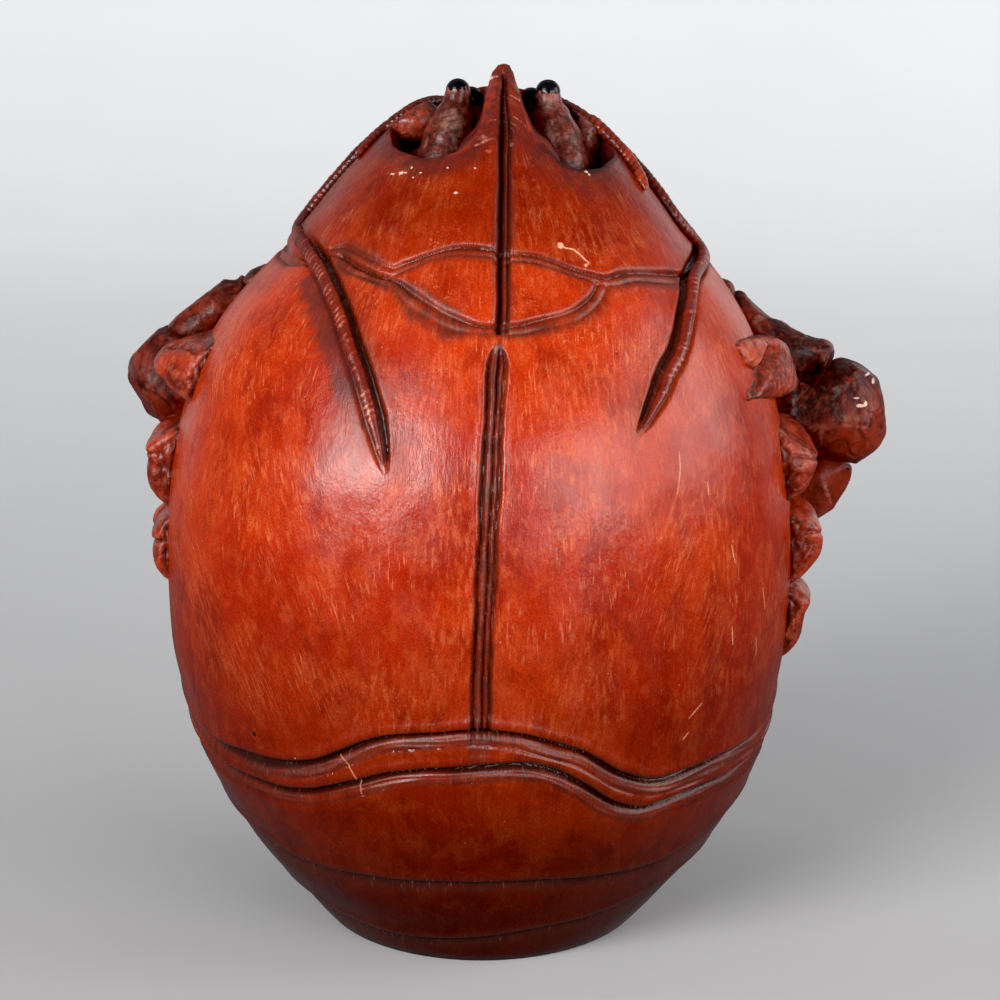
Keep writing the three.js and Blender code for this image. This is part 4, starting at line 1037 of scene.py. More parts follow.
def nets(f, lo, hi, cell):
    """Closed quad mesh of f = 0 (f < 0 inside)."""
    lo = np.asarray(lo, float)
    n = np.ceil((np.asarray(hi, float) - lo) / cell).astype(int) + 1
    # coarse look first, then the fine grid only where the surface can be
    step = 4
    nc = (n + step - 1) // step
    gc = np.stack(np.meshgrid(*(lo[k] + cell * (step * np.arange(nc[k]) + (step - 1) / 2) for k in range(3)), indexing="ij"), -1).reshape(-1, 3)
    vc = f(gc).reshape(nc)
    hot = np.abs(vc) < cell * step * 0.87 * 1.5
    pad = np.pad(hot, 1)
    hot = np.zeros_like(hot)
    for dx in (0, 1, 2):
        for dy in (0, 1, 2):
            for dz in (0, 1, 2):
                hot |= pad[dx:dx + nc[0], dy:dy + nc[1], dz:dz + nc[2]]
    up = lambda a: np.repeat(np.repeat(np.repeat(a, step, 0), step, 1), step, 2)[:n[0], :n[1], :n[2]]
    v = up(vc).astype(float)
    at = np.argwhere(up(hot))
    v[tuple(at.T)] = f(lo + cell * at)
    for k in range(3):                     # nothing may touch the edge of the box
        for end in (0, -1):
            sl = [slice(None)] * 3
            sl[k] = end
            v[tuple(sl)] = np.maximum(v[tuple(sl)], 0.01)
    s = v < 0
    m = n - 1
    acc, cnt = np.zeros((*m, 3)), np.zeros(m)
    crossings = []
    for k in range(3):
        i0, i1 = [slice(None)] * 3, [slice(None)] * 3
        i0[k], i1[k] = slice(0, -1), slice(1, None)
        a, b = v[tuple(i0)], v[tuple(i1)]
        cross = s[tuple(i0)] != s[tuple(i1)]
        t = np.where(cross, a / np.where(cross, a - b, 1.0), 0.0)
        pos = np.stack(np.indices(a.shape), -1).astype(float)
        pos[..., k] += t
        o = [c for c in range(3) if c != k]
        for da in (0, 1):
            for db in (0, 1):
                sl = [slice(None)] * 3
                sl[o[0]] = slice(da, a.shape[o[0]] - 1 + da)
                sl[o[1]] = slice(db, a.shape[o[1]] - 1 + db)
                cr = cross[tuple(sl)]
                acc += pos[tuple(sl)] * cr[..., None]
                cnt += cr
        crossings.append((k, o, cross, s[tuple(i0)]))
    used = cnt > 0
    ids = np.full(m, -1)
    ids[used] = np.arange(used.sum())
    verts = lo + cell * (acc[used] / cnt[used][:, None])
    faces = []
    for k, o, cross, low in crossings:
        e = np.argwhere(cross)
        e = e[(e[:, o[0]] > 0) & (e[:, o[0]] < n[o[0]] - 1) & (e[:, o[1]] > 0) & (e[:, o[1]] < n[o[1]] - 1)]
        q = []
        for da, db in ((-1, -1), (0, -1), (0, 0), (-1, 0)):
            c = e.copy()
            c[:, o[0]] += da
            c[:, o[1]] += db
            q.append(ids[tuple(c.T)])
        q = np.stack(q, 1)
        flip = low[tuple(e.T)] == (k == 1)
        q[flip] = q[flip][:, ::-1]
        faces.append(q)
    return verts, np.concatenate(faces)


def biggest(verts, faces):
    """Keep the largest connected piece."""
    lab = np.arange(len(verts))
    e = np.concatenate([faces[:, [0, 1]], faces[:, [1, 2]], faces[:, [2, 3]], faces[:, [3, 0]]])
    while True:
        m = np.minimum(lab[e[:, 0]], lab[e[:, 1]])
        new = lab.copy()
        np.minimum.at(new, e[:, 0], m)
        np.minimum.at(new, e[:, 1], m)
        new = new[new]
        if (new == lab).all():
            break
        lab = new
    ids, count = np.unique(lab, return_counts=True)
    keep = lab == ids[np.argmax(count)]
    idx = np.cumsum(keep) - 1
    return verts[keep], idx[faces[keep[faces].all(1)]]


def sculpt(name, f, lo, hi, cell=0.8, seed=1, facet=0.0, facet_size=9.0, crease=0.0, crease_scale=0.14, grain=0.25, rounds=2, stretch=(1, 1, 1)):
    """Mesh of a lump: planed facets, pinched creases, fine grain, and paint masks for hollows and edges."""
    v, q = nets(f, lo, hi, cell)
    v, q = biggest(v, q)
    ob = mesh_object(name, v, q.tolist())
    me = ob.data
    e = edges_of(me)
    x = coords(me) * 1000 + SHIFT
    x = relax(x, e, rounds, 0.5)
    set_coords(me, to_m(x))
    st = np.array(stretch, float)
    if facet > 0:
        n = normals_of(me)
        order = np.random.RandomState(seed).permutation(len(x))
        seeds = []
        free = np.ones(len(x), bool)
        for i in order:
            if free[i]:
                seeds.append(i)
                free &= ((x - x[i]) ** 2).sum(1) > facet_size ** 2
        tree = kdtree.KDTree(len(seeds))
        for k, j in enumerate(seeds):
            tree.insert(x[j], k)
        tree.balance()
        warp = x + 1.6 * np.stack([field(x, 0.12, seed + 40 + k) for k in range(3)], 1)
        cell_id = np.fromiter((tree.find(w)[1] for w in warp.tolist()), int, len(x))
        cnt = np.maximum(np.bincount(cell_id, minlength=len(seeds)), 1)[:, None]
        mid = np.stack([np.bincount(cell_id, weights=x[:, k], minlength=len(seeds)) for k in range(3)], 1) / cnt
        nor = np.stack([np.bincount(cell_id, weights=n[:, k], minlength=len(seeds)) for k in range(3)], 1)
        nor /= np.maximum(np.linalg.norm(nor, axis=1, keepdims=True), 1e-9)
        off = ((x - mid[cell_id]) * nor[cell_id]).sum(1)
        same = np.clip((n * nor[cell_id]).sum(1), 0, 1)
        x = x - nor[cell_id] * np.clip(off * facet * same, -1.6, 1.6)[:, None]
        x = relax(x, e, 1, 0.5)
        set_coords(me, to_m(x))
    n = normals_of(me)
    dent = np.zeros(len(x))
    if crease > 0:
        w = field(x * st, crease_scale, seed + 3, 2)
        dent = (1 - np.clip(np.abs(w) * 1.9, 0, 1)) ** 6
        w2 = field(x * st, crease_scale * 2.1, seed + 9, 1)
        dent = np.maximum(dent, 0.5 * (1 - np.clip(np.abs(w2) * 2.2, 0, 1)) ** 7)
    low = 0.55 * field(x, 0.085, seed + 5)
    fine = field(x, 0.42, seed + 7, 2)
    x = x + n * (low * (0.7 if facet > 0 else 0.3) - crease * dent + grain * fine)[:, None]
    set_coords(me, to_m(x))
    n = normals_of(me)
    lap = ((relax(x, e, 4, 0.5) - x) * n).sum(1)
    attribute(me, "cav", np.clip(np.maximum(lap / 0.30, 0.8 * dent), 0, 1))
    attribute(me, "edge", np.clip(-lap / 0.30, 0, 1))
    _, _, h = surf(x)
    attribute(me, "root", smoothstep(3.2, 0.2, h))
    return ob


def keep(ob, node, slot, mat):
    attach(ob, "root")
    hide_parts(node)
    ob.data.materials.clear()
    ob.data.materials.append(mat)


def span(pts, pad):
    p = np.asarray(pts, float)
    return p.min(0) - pad, p.max(0) + pad


# ---------------------------------------------------------------------------
# Feelers: ringed cords laid on the body.

def ringed(name, path, r0, r1, lift0, lift1, pitch, seed, tip=24.0, slant=0.9, depth=0.17, around=20):
    q = catmull(path, len(path) * 30)
    n0 = body_normal(q[:, 1], np.radians(q[:, 0]))
    t0 = np.linspace(0, 1, len(q))
    base = body_point(q[:, 1], np.radians(q[:, 0])) + n0 * (lift0 + (lift1 - lift0) * t0)[:, None]
    pts, s = resample(np.concatenate([base, n0], 1), 0.42)
    p, n = pts[:, :3], pts[:, 3:]
    t = np.gradient(p, axis=0)
    t /= np.linalg.norm(t, axis=1, keepdims=True)
    n = n - t * (n * t).sum(1, keepdims=True)
    n /= np.linalg.norm(n, axis=1, keepdims=True)
    b = np.cross(n, t)
    L = s[-1]
    u = s / L
    r = r0 + (r1 - r0) * u
    r = r * (1 + 0.10 * wobble(s, seed, 0.11) + 0.05 * wobble(s, seed + 8, 0.4))
    r = r * np.clip(np.maximum(1 - np.clip(1 - (L - s) / tip, 0, 1) ** 1.6, 0) ** 0.7, 0.10, 1)
    r = r * np.clip(np.sqrt(np.maximum(1 - np.clip(1 - s / 2.0, 0, 1) ** 2, 0)), 0.25, 1)
    drift = 0.9 * wobble(s, seed + 2, 0.06)
    worn = 1 - 0.62 * smoothstep(100, 80, L - s) * (L > 60)          # the run down the back is rubbed smoother
    verts, ring, painted_glint = [], [], []
    ang = np.linspace(0, 2 * math.pi, around, endpoint=False)
    for j, a in enumerate(ang):
        ph = (s + slant * (0.3 + 0.7 * worn) * r * math.cos(a)) / pitch + drift
        cr = np.abs(np.cos(math.pi * ph)) ** 0.75
        every = np.fromiter((noise.noise((math.floor(v + 0.5) * 0.73, seed * 1.9, 0.4)) for v in ph.tolist()), float, len(ph))
        rr = r * (1 + depth * worn * (cr - 0.62) + 0.09 * every * cr)
        verts.append(p + rr[:, None] * (math.cos(a) * b + 0.82 * math.sin(a) * n))
        # painted light: the ring mask is higher on the cord's upper side, so its paint is lighter on top and darker
        # underneath
        crest = 0.55 + 0.45 * smoothstep(-0.2, 0.75, math.sin(a))
        ring.append((1 - worn * 0.9 * (1 - cr)) * (0.66 + 0.55 * every) * crest)
        # painted glints: pale ticks on the ring crests of one upper flank
        off = math.cos(a) * (1 if path[0][0] < 0 else -1)
        painted_glint.append(smoothstep(-0.05, 0.35, every) * cr ** 9 * smoothstep(0.62, 0.95, math.sin(a) - 0.30 * off) * (1.5 - 1.3 * worn))
    verts = np.stack(verts, 1).reshape(-1, 3)
    ring = np.stack(ring, 1).ravel()
    m = len(s)
    faces = []
    for i in range(m - 1):
        for j in range(around):
            k = (j + 1) % around
            faces.append((i * around + j, i * around + k, (i + 1) * around + k, (i + 1) * around + j))
    faces.append(tuple(range(around))[::-1])
    faces.append(tuple((m - 1) * around + j for j in range(around)))
    ob = mesh_object(name, verts, faces)
    bm = bmesh.new()
    bm.from_mesh(ob.data)
    bmesh.ops.recalc_face_normals(bm, faces=bm.faces)
    bm.to_mesh(ob.data)
    bm.free()
    attribute(ob.data, "ring", np.clip(ring, 0, 1))
    attribute(ob.data, "painted_glint", np.clip(np.stack(painted_glint, 1).ravel(), 0, 1))
    attribute(ob.data, "far", np.repeat(u, around))
    return ob


# ---------------------------------------------------------------------------
# Paint on limbs, feelers and eyes.

def limb_material(name, base, alt, light, edge_rub_and_glint=0.5, painted_sheen=0.0, rough=(0.28, 0.42), dark=DARK, broad=42.0, chips=(), patches=(), gloss=0.28):
    m = Nodes(name)
    n1 = m.ramp(m.noise(None, broad, 3.0, 0.55), (0.38, 0.64, 0, 1))
    col = m.mix(n1, base, alt)
    for c, r, st, tone, amount in patches:
        col = m.mix(m.math("MULTIPLY", m.patch(c, r, st), amount), col, tone)
    n2 = m.ramp(m.noise(m.scaled(1, 1, 0.55), 240.0, 4.0, 0.65, 0.4), (0.50, 0.68, 0, 0.80))
    col = m.mix(n2, col, light)
    n3 = m.ramp(m.noise(None, 105.0, 4.0, 0.62), (0.50, 0.68, 0, 0.72))
    col = m.mix(n3, col, tuple(0.42 * c for c in base))
    wn = m.ramp(m.noise(None, 420.0, 3.0, 0.6), (0.3, 0.7, 0.55, 1.25))
    # dark wash in hollows and creases, partly painted shade in them
    cav = m.math("MULTIPLY", m.attr("cav"), wn, clamp=True)
    col = m.mix(m.math("MULTIPLY", cav, 0.90, clamp=True), col, dark)
    # dark wash where the limb meets the body, partly painted shade in that join
    root = m.math("MULTIPLY", m.attr("root"), m.ramp(wn, (0.5, 1.2, 0.25, 0.70)))
    col = m.mix(root, col, dark)
    # pale pink along convex edges: partly rubbed paint, partly painted glints
    rub_and_glint = m.math("MULTIPLY", m.attr("edge"), m.ramp(m.noise(None, 330.0, 3.0, 0.65), (0.40, 0.60, 0.0, 1.0)))
    col = m.mix(m.math("MULTIPLY", rub_and_glint, edge_rub_and_glint, clamp=True), col, (0.74, 0.26, 0.19))
    # painted sheen: pale pink cloudy patches standing in for hazy highlights
    if painted_sheen > 0:
        hz = m.ramp(m.noise(None, 120.0, 3.0, 0.6, 0.5), (0.56, 0.76, 0, painted_sheen))
        col = m.mix(hz, col, (0.40, 0.17, 0.13))
    for i, (c, r, st) in enumerate(chips):
        col = m.mix(m.near(c, r, st, i, 1.0), col, CHIP)
    m.put(col, m.bsdf.inputs["Base Color"])
    m.put(m.ramp(m.noise(None, 130.0, 3.0, 0.6), (0.3, 0.7, rough[0], rough[1])), m.bsdf.inputs["Roughness"])
    b = m.bump(m.noise(None, 700.0, 3.0, 0.6), 0.10, 0.0005)
    b = m.bump(m.noise(None, 230.0, 3.0, 0.6), 0.26, 0.0014, b)
    b = m.bump(m.noise(None, 95.0, 3.0, 0.6), 0.24, 0.0024, b)
    m.put(b, m.bsdf.inputs["Normal"])
    m.bsdf.inputs["IOR"].default_value = 1.5
    m.bsdf.inputs["Specular IOR Level"].default_value = gloss
    return m.mat


def feeler_material(name, a, b, c):
    m = Nodes(name)
    n1 = m.ramp(m.noise(None, 160.0, 3.0, 0.6), (0.35, 0.68, 0, 1))
    col = m.mix(n1, a, b)
    far = m.ramp(m.attr("far"), (0.25, 0.75, 0.0, 1.0))
    col = m.mix(m.math("MULTIPLY", far, 0.55), col, c)
    # painted light and shade: ring crests lighter with pale highlight marks on the highest, grooves between the rings
    # and the underside darker
    crest = m.ramp(m.attr("ring"), (0.55, 0.98, 0, 1))
    spot = m.ramp(m.noise(None, 520.0, 2.0, 0.6), (0.40, 0.62, 0.05, 1.0))
    col = m.mix(m.math("MULTIPLY", m.math("MULTIPLY", crest, spot), 0.6), col, (0.42, 0.060, 0.028))
    pale = m.math("MULTIPLY", m.ramp(m.attr("ring"), (0.85, 1.0, 0, 1)), m.ramp(m.noise(None, 640.0, 2.0, 0.6), (0.60, 0.70, 0, 0.8)))
    col = m.mix(pale, col, (0.76, 0.36, 0.25))
    valley = m.ramp(m.attr("ring"), (0.02, 0.42, 0.95, 0))
    col = m.mix(valley, col, DARK)
    # painted glints on the ring crests
    tk = m.math("MULTIPLY", m.attr("painted_glint"), m.ramp(m.noise(None, 700.0, 2.0, 0.6), (0.42, 0.56, 0.0, 1.0)))
    col = m.mix(m.math("MULTIPLY", tk, 0.8), col, (0.66, 0.26, 0.18))
    m.put(col, m.bsdf.inputs["Base Color"])
    m.put(m.ramp(m.noise(None, 200.0, 3.0, 0.6), (0.3, 0.7, 0.22, 0.36)), m.bsdf.inputs["Roughness"])
    m.put(m.bump(m.noise(None, 600.0, 3.0, 0.6), 0.45, 0.0007), m.bsdf.inputs["Normal"])
    m.bsdf.inputs["IOR"].default_value = 1.5
    m.bsdf.inputs["Specular IOR Level"].default_value = 0.42
    return m.mat


def bead_material(name, z_edge_mm, paint):
    m = Nodes(name)
    z = m.sep()[2]
    n = m.noise(m.scaled(1, 1, 0.35), 520.0, 2.0, 0.6)
    lift = m.math("MULTIPLY_ADD", n, 0.0062, z)
    k = m.ramp(lift, (z_edge_mm / 1000 + 0.0034, z_edge_mm / 1000 + 0.0026, 0, 1))
    marble = m.ramp(m.noise(None, 260.0, 3.0, 0.6), (0.4, 0.65, 0, 1))
    col = m.mix(k, m.mix(marble, (0.0028, 0.0028, 0.0035), (0.006, 0.005, 0.006)), m.mix(marble, paint, (0.42, 0.13, 0.09)))
    m.put(col, m.bsdf.inputs["Base Color"])
    m.put(m.ramp(k, (0, 1, 0.17, 0.36)), m.bsdf.inputs["Roughness"])
    m.put(m.bump(m.noise(None, 420.0, 2.0, 0.5), 0.06, 0.0006), m.bsdf.inputs["Normal"])
    m.bsdf.inputs["IOR"].default_value = 1.5
    m.bsdf.inputs["Specular IOR Level"].default_value = 0.3
    return m.mat


ARM_PAINT = limb_material("arm_paint", (0.044, 0.0050, 0.0038), (0.130, 0.0115, 0.0052), (0.24, 0.029, 0.012), 0.30, 0.02, (0.26, 0.42),
                          chips=[((141.6, 19.0, 191.0), 0.95, (1.6, 9, 0.6)), ((143.5, 19.0, 188.6), 0.95, (0.9, 9, 1.2)), ((136.6, 18.0, 183.8), 0.62, (1.6, 9, 0.55)),
                                 ((138.0, 18.0, 181.1), 0.95, (1.7, 9, 0.6)), ((139.9, 18.0, 181.7), 0.8, (0.8, 9, 1.2))],
                          # patches: the orange-brown one on the right elbow's lower face and the two near-black ones on
                          # the tops of the right upper arm and elbow are painted light and shade; the small grey-pink
                          # one on the left elbow and the two small pale pink ones on the right elbow are painted
                          # highlights; the others are paint tone
                          patches=[((139.0, 18.0, 171.0), 16.0, (0.95, 2.0, 1.05), (0.22, 0.021, 0.0075), 0.90), ((128.8, 26.0, 150.0), 12.0, (1, 2, 1), (0.21, 0.021, 0.008), 0.8),
                                   ((95.0, 18.0, 207.5), 9.0, (1.0, 1.6, 1.0), (0.26, 0.028, 0.012), 0.8), ((-100.7, 20.0, 216.0), 11.0, (1.2, 1.6, 0.7), (0.17, 0.020, 0.010), 0.6),
                                   ((-122.9, 19.0, 196.4), 5.0, (0.9, 2, 1.2), (0.24, 0.046, 0.032), 0.6), ((-112.2, 19.0, 186.0), 3.4, (1.7, 2, 0.6), (0.26, 0.085, 0.058), 0.55),
                                   ((113.5, 18.0, 205.0), 13.0, (1.3, 2, 0.8), (0.026, 0.0055, 0.0055), 0.85), ((124.0, 18.0, 188.0), 14.0, (1.3, 2, 0.8), (0.026, 0.006, 0.0065), 0.85),
                                   ((123.7, 20.0, 173.5), 2.6, (1.5, 3, 0.7), (0.45, 0.13, 0.09), 0.6), ((134.7, 18.0, 176.6), 2.6, (1.6, 3, 0.8), (0.45, 0.13, 0.08), 0.5)], gloss=0.15)
LEG_PAINT = limb_material("leg_paint", (0.150, 0.0125, 0.006), (0.35, 0.032, 0.010), (0.52, 0.080, 0.028), 0.46, 0.03, (0.24, 0.38), broad=90.0, gloss=0.25,
                          patches=[((93.0, -29.0, 210.5), 8.0, (1, 1.4, 0.8), (0.50, 0.062, 0.018), 0.85)])
STALK_PAINT = limb_material("stalk_paint", (0.115, 0.018, 0.012), (0.24, 0.036, 0.022), (0.44, 0.17, 0.13), 0.3, 0.32, (0.20, 0.36), broad=110.0,
                            # patches: the two pale pink ones on the stalks are painted highlights; the two red ones on
                            # the feeler bases are paint tone
                            patches=[((-9.5, -5.0, 287.0), 4.6, (0.9, 1.6, 1.1), (0.46, 0.23, 0.18), 0.8), ((24.5, 0.0, 293.0), 3.2, (1, 2, 0.8), (0.42, 0.20, 0.16), 0.7),
                                     ((-23.3, 7.0, 287.0), 10.0, (1.2, 1.5, 1), (0.36, 0.036, 0.014), 0.95), ((36.0, 9.0, 281.5), 6.0, (1, 1.5, 1), (0.24, 0.035, 0.018), 0.8)])
FEELER_PAINT = feeler_material("feeler_paint", (0.060, 0.0065, 0.0045), (0.15, 0.015, 0.007), (0.21, 0.016, 0.006))
ANTENNULE_PAINT = feeler_material("antennule_paint", (0.13, 0.011, 0.006), (0.27, 0.026, 0.010), (0.38, 0.038, 0.012))

# ---------------------------------------------------------------------------
# Feelers.
keep(ringed("antenna_left", ANT_L, 3.0, 1.9, 0.5, 0.9, 2.3, 3, depth=0.13), "antenna_left", "feeler_brown", FEELER_PAINT)
keep(ringed("antenna_right", ANT_R, 3.0, 1.9, 0.6, 0.9, 2.3, 5, depth=0.13), "antenna_right", "feeler_brown", FEELER_PAINT)
ANTENNULE_L = [(-106, 283), (-99, 281), (-93.5, 278.5), (-88.5, 275.8), (-84, 273.2)]
ANTENNULE_R = [(106, 284.6), (97, 282.3), (91, 279), (86.5, 275), (81.5, 271.2), (76, 267.4), (71.5, 264)]
keep(ringed("antennule_left", ANTENNULE_L, 2.3, 1.6, 1.1, 0.8, 2.4, 7, 5.0), "antennule_left", "feeler_brown", FEELER_PAINT)
keep(ringed("antennule_right", ANTENNULE_R, 3.0, 2.2, 1.3, 0.9, 2.6, 9, 6.0, depth=0.11), "antennule_right", "feeler_brown", ANTENNULE_PAINT)

# ---------------------------------------------------------------------------
# Eyes: beads on double stalks inside the hollows.

def bead(name, c, r, seed):
    bm = bmesh.new()
    bmesh.ops.create_uvsphere(bm, u_segments=48, v_segments=32, radius=1.0)
    q = np.array([v.co for v in bm.verts])
    w = q * np.array(r) + np.array(c)
    w = w + q * (0.12 * field(w, 0.22, seed))[:, None]
    for v, x in zip(bm.verts, to_m(w).tolist()):
        v.co = x
    me = bpy.data.meshes.new(name)
    bm.to_mesh(me)
    bm.free()
    me.polygons.foreach_set("use_smooth", [True] * len(me.polygons))
    return link(bpy.data.objects.new(name, me))


for side, c, e in (("left", (-7.3, 5.0, 296.6), 297.2), ("right", (24.2, 5.0, 296.2), 296.3)):
    keep(bead("eye_bead_" + side, c, (4.35, 4.35, 4.35), 21 if side == "left" else 23), "eye_bead_" + side, "eye_black",
         bead_material("eye_gloss_" + side, e, (0.16, 0.030, 0.020)))
for side, c, e in (("left", (-3.0, 11.0, 292.7), 288.0), ("right", (18.4, 11.0, 292.4), 288.2)):
    keep(bead("inner_bead_" + side, c, (4.6, 4.6, 4.7), 25 if side == "left" else 27), "inner_bead_" + side, "eye_black",
         bead_material("inner_gloss_" + side, e, (0.08, 0.016, 0.012)))


def stalks(side):
    if side == "left":
        outer = ([(-15, -5, 262), (-12.8, -2.5, 272), (-10.6, 0.6, 280.5), (-8.8, 3.2, 287.2)], [9.6, 9.2, 8.6, 6.9])
        cup = ([(-8.2, 4.1, 290.4), (-7.35, 4.9, 295.0)], [4.6, 4.72])
        inner = ([(-5, 6, 264), (-4.4, 8.5, 276), (-3.6, 10.3, 284), (-3.0, 11, 289.6)], [7.5, 6.8, 6.0, 4.6])
        extra = [((-18, 4, 270), (9, 8, 7))]
    else:
        outer = ([(31, -7, 262), (29.0, -3.5, 272), (27.0, 0.5, 280.5), (25.4, 3.4, 286.6)], [8.6, 8.8, 8.6, 7.2])
        cup = ([(24.9, 4.2, 289.8), (24.2, 4.9, 294.3)], [4.7, 4.75])
        inner = ([(21, 3, 264), (19.8, 7.5, 275), (19.0, 9.8, 283), (18.4, 11, 289.3)], [7.0, 7.6, 7.2, 4.8])
        extra = [((35, 4, 269), (7, 8, 7))]

    def f(p):
        d = smin(smin(limb(p, *outer, k=2.0), limb(p, *cup, k=1.0), 0.7), limb(p, *inner, k=2.0), 1.2)
        for c, r in extra:
            d = smin(d, ball(p, c, r), 3.0)
        # stay inside the crown, and root a little below the hollow's floor
        s0 = SOCKETS[0 if side == "left" else 1]
        return smax(d, ball(p, s0[0], np.array(s0[1]) + 2.2), 0.8)
    pts = np.array(outer[0] + cup[0] + inner[0] + [c for c, _ in extra])
    lo, hi = span(pts, 12)
    return sculpt("eyestalk_" + side, f, lo, hi, 0.62, 31 if side == "left" else 37, 0.15, 6.0, 0.06, 0.12, 0.03, 2)


for side in ("left", "right"):
    keep(stalks(side), "eyestalk_" + side, "limb_red", STALK_PAINT)

for side, c, r, seed in (("left", (-22.8, 11.5, 285.0), (10.4, 8.5, 7.8), 41), ("right", (37.4, 10.0, 279.4), (5.4, 8.0, 8.4), 43)):
    f = lambda p, c=c, r=r: smax(smin(ball(p, c, r), ball(p, (c[0] * 1.05, c[1] + 6, c[2] - 3), (7.5, 7.0, 7)), 2.0), surf(p)[2] - 0.8, 0.8)
    keep(sculpt("antenna_base_" + side, f, np.array(c) - 18, np.array(c) + 18, 0.62, seed, 0.3, 5.5, 0.14, 0.13, 0.04),
         "antenna_base_" + side, "limb_red", STALK_PAINT)

# ---------------------------------------------------------------------------
# Claw arms. Outlines on the leaning plane, mm about a centre.
ARMS = {
    "shoulder_left": ((-81.0, 26.0, 226.7), [(4.4, 5.0), (1.2, 3.9), (-2.1, 2.1), (-3.9, -0.1), (-5.7, -2.3), (-2.1, -5.5), (4, -7), (9, -3), (9.5, 2.5)], 9.0, 5.0, 51),
    "upper_arm_left": ((-98.9, 27.0, 216.4), [(14.4, 11.3), (10.4, 8.8), (6.8, 8.0), (4.3, 7.7), (1.0, 5.5), (-2.3, 2.6), (-6.2, -0.3), (-10.2, -3.2),
                       (-12.8, -6.1), (-13.9, -8.7), (-9.2, -15.8), (1, -14), (9, -7), (18, 2)], 11.5, 9.0, 53),
    "elbow_left": ((-118.1, 30.0, 190.6), [(4.8, 17.2), (2.2, 16.1), (-0.4, 14.6), (-4.0, 11.7), (-6.9, 9.1), (-9.3, 5.9), (-10.2, 2.2), (-10.6, -1.5), (-9.5, -4.8),
                   (-7.3, -8.0), (-4.7, -11.7), (-1.8, -15.4), (0.7, -17.9), (2.9, -19.4), (12, -18), (20, -10), (24, 0.0), (23, 9.9), (14, 16.5)], 14.5, 13.0, 55),
    "shoulder_right": ((87.4, 26.0, 221.5), [(-18.0, 8.8), (-11.0, 6.4), (-5.9, 5.3), (0.4, 4.1), (4.3, 2.7), (4.8, 0.2), (4.8, -5.1), (1.4, -7.1), (-6, -7), (-14.0, -1.0), (-19.0, 5.0)], 9.0, 4.0, 57),
    "upper_arm_right": ((111.2, 27.0, 205.3), [(-18.2, 15.3), (-14.7, 15.1), (-11.8, 12.1), (-7.9, 8.7), (-3.1, 4.8), (2.3, 2.4), (7.2, 0.0), (11.1, -1.5), (16.0, -3.0),
                        (17.4, -4.9), (17.4, -7.8), (16.7, -10.1), (13.1, -11.3), (8.2, -13.2), (2.0, -16.5), (-8, -16), (-14, -8), (-19, 1.0), (-23, 8.5), (-22, 13)], 11.0, 8.0, 59),
    "elbow_right": ((131.9, 30.0, 176.7), [(-3.2, 17.3), (1.2, 18.3), (5.2, 18.1), (8.1, 17.1), (11.2, 13.6), (14.0, 10.2), (15.5, 6.8), (16.0, 0.4), (16.2, -5.5),
                    (15.5, -12.4), (14.0, -15.9), (10.1, -17.8), (5.3, -20.0), (1.2, -19.3), (-3.7, -17.8), (-9.6, -17.5), (-17, -14), (-25, -8), (-30, -0.6),
                    (-30, 6.0), (-24, 11.2), (-15.5, 13.8), (-9.6, 15.1)], 15.0, 11.0, 61),
}
for name, (c, poly, half, edge, seed) in ARMS.items():
    flat = Flat(poly)

    def f(p, c=c, flat=flat, half=half, edge=edge, name=name):
        d = pillow(p, c, flat, half, edge)
        if name == "upper_arm_right":            # end flange
            d = smin(d, ball(p, (125.0, 27.0, 197.5), (4.2, 11.0, 6.4)), 1.5)
        if name == "elbow_left":
            d = smin(d, ball(p, (-113.0, 38.0, 184.0), (13.0, 13.0, 15.0)), 5.0)
        if name == "elbow_right":
            d = smin(d, ball(p, (124.0, 37.0, 170.0), (14.0, 13.0, 15.0)), 5.0)
        return smax(d, -(surf(p)[2] + 1.6), 0.8)
    pp = np.array([np.array(c) + np.array([u, 0, 0]) + v * FACE_UP for u, v in poly])
    lo, hi = span(pp, 3.0)
    lo[1] -= half + 3
    hi[1] += half + 12
    big = name.startswith("elbow")
    keep(sculpt(name, f, lo, hi, 0.8, seed, 0.66 if big else 0.46, 11.5, 0.30, 0.075, 0.05, 3), name, "limb_red", ARM_PAINT)


def claw(side):
    s = -1 if side == "left" else 1
    if side == "left":
        palm = [(-117, 172, 13), (-127, 155, 14), (-140, 133, 14), (-151, 116, 12)]
        pr = [11, 15.5, 18, 15]
    else:
        palm = [(108, 160, 23), (114, 147, 20), (125, 134, 16), (140, 120, 14), (151, 106, 12)]
        pr = [12, 14.5, 16.5, 18, 15]
    th0, z0 = palm[-1][0], palm[-1][1]
    slope, arc = 0.785, 106.0

    def local(path):
        out = []
        for u, v, lift in path:
            z = z0 - math.sin(slope) * u + math.cos(slope) * v
            th = th0 + s * math.degrees((math.cos(slope) * u + math.sin(slope) * v) / arc)
            out.append((th, z, lift))
        return out
    fixed = local([(-8, -7, 12), (12, -11, 12), (28, -8.5, 9.5), (41, -2.5, 7)])
    free = local([(-4, 9, 12), (14, 12.5, 12), (30, 10, 9.5), (43, 4, 7)])

    def place(path):
        return ([on_body(t, z, l) for t, z, l in path], [body_normal(z, np.radians(t)) for t, z, l in path])
    return (*place(palm), pr), (*place(fixed), [9, 7.5, 5.5, 2.2]), (*place(free), [8, 7.5, 5.5, 2.2])


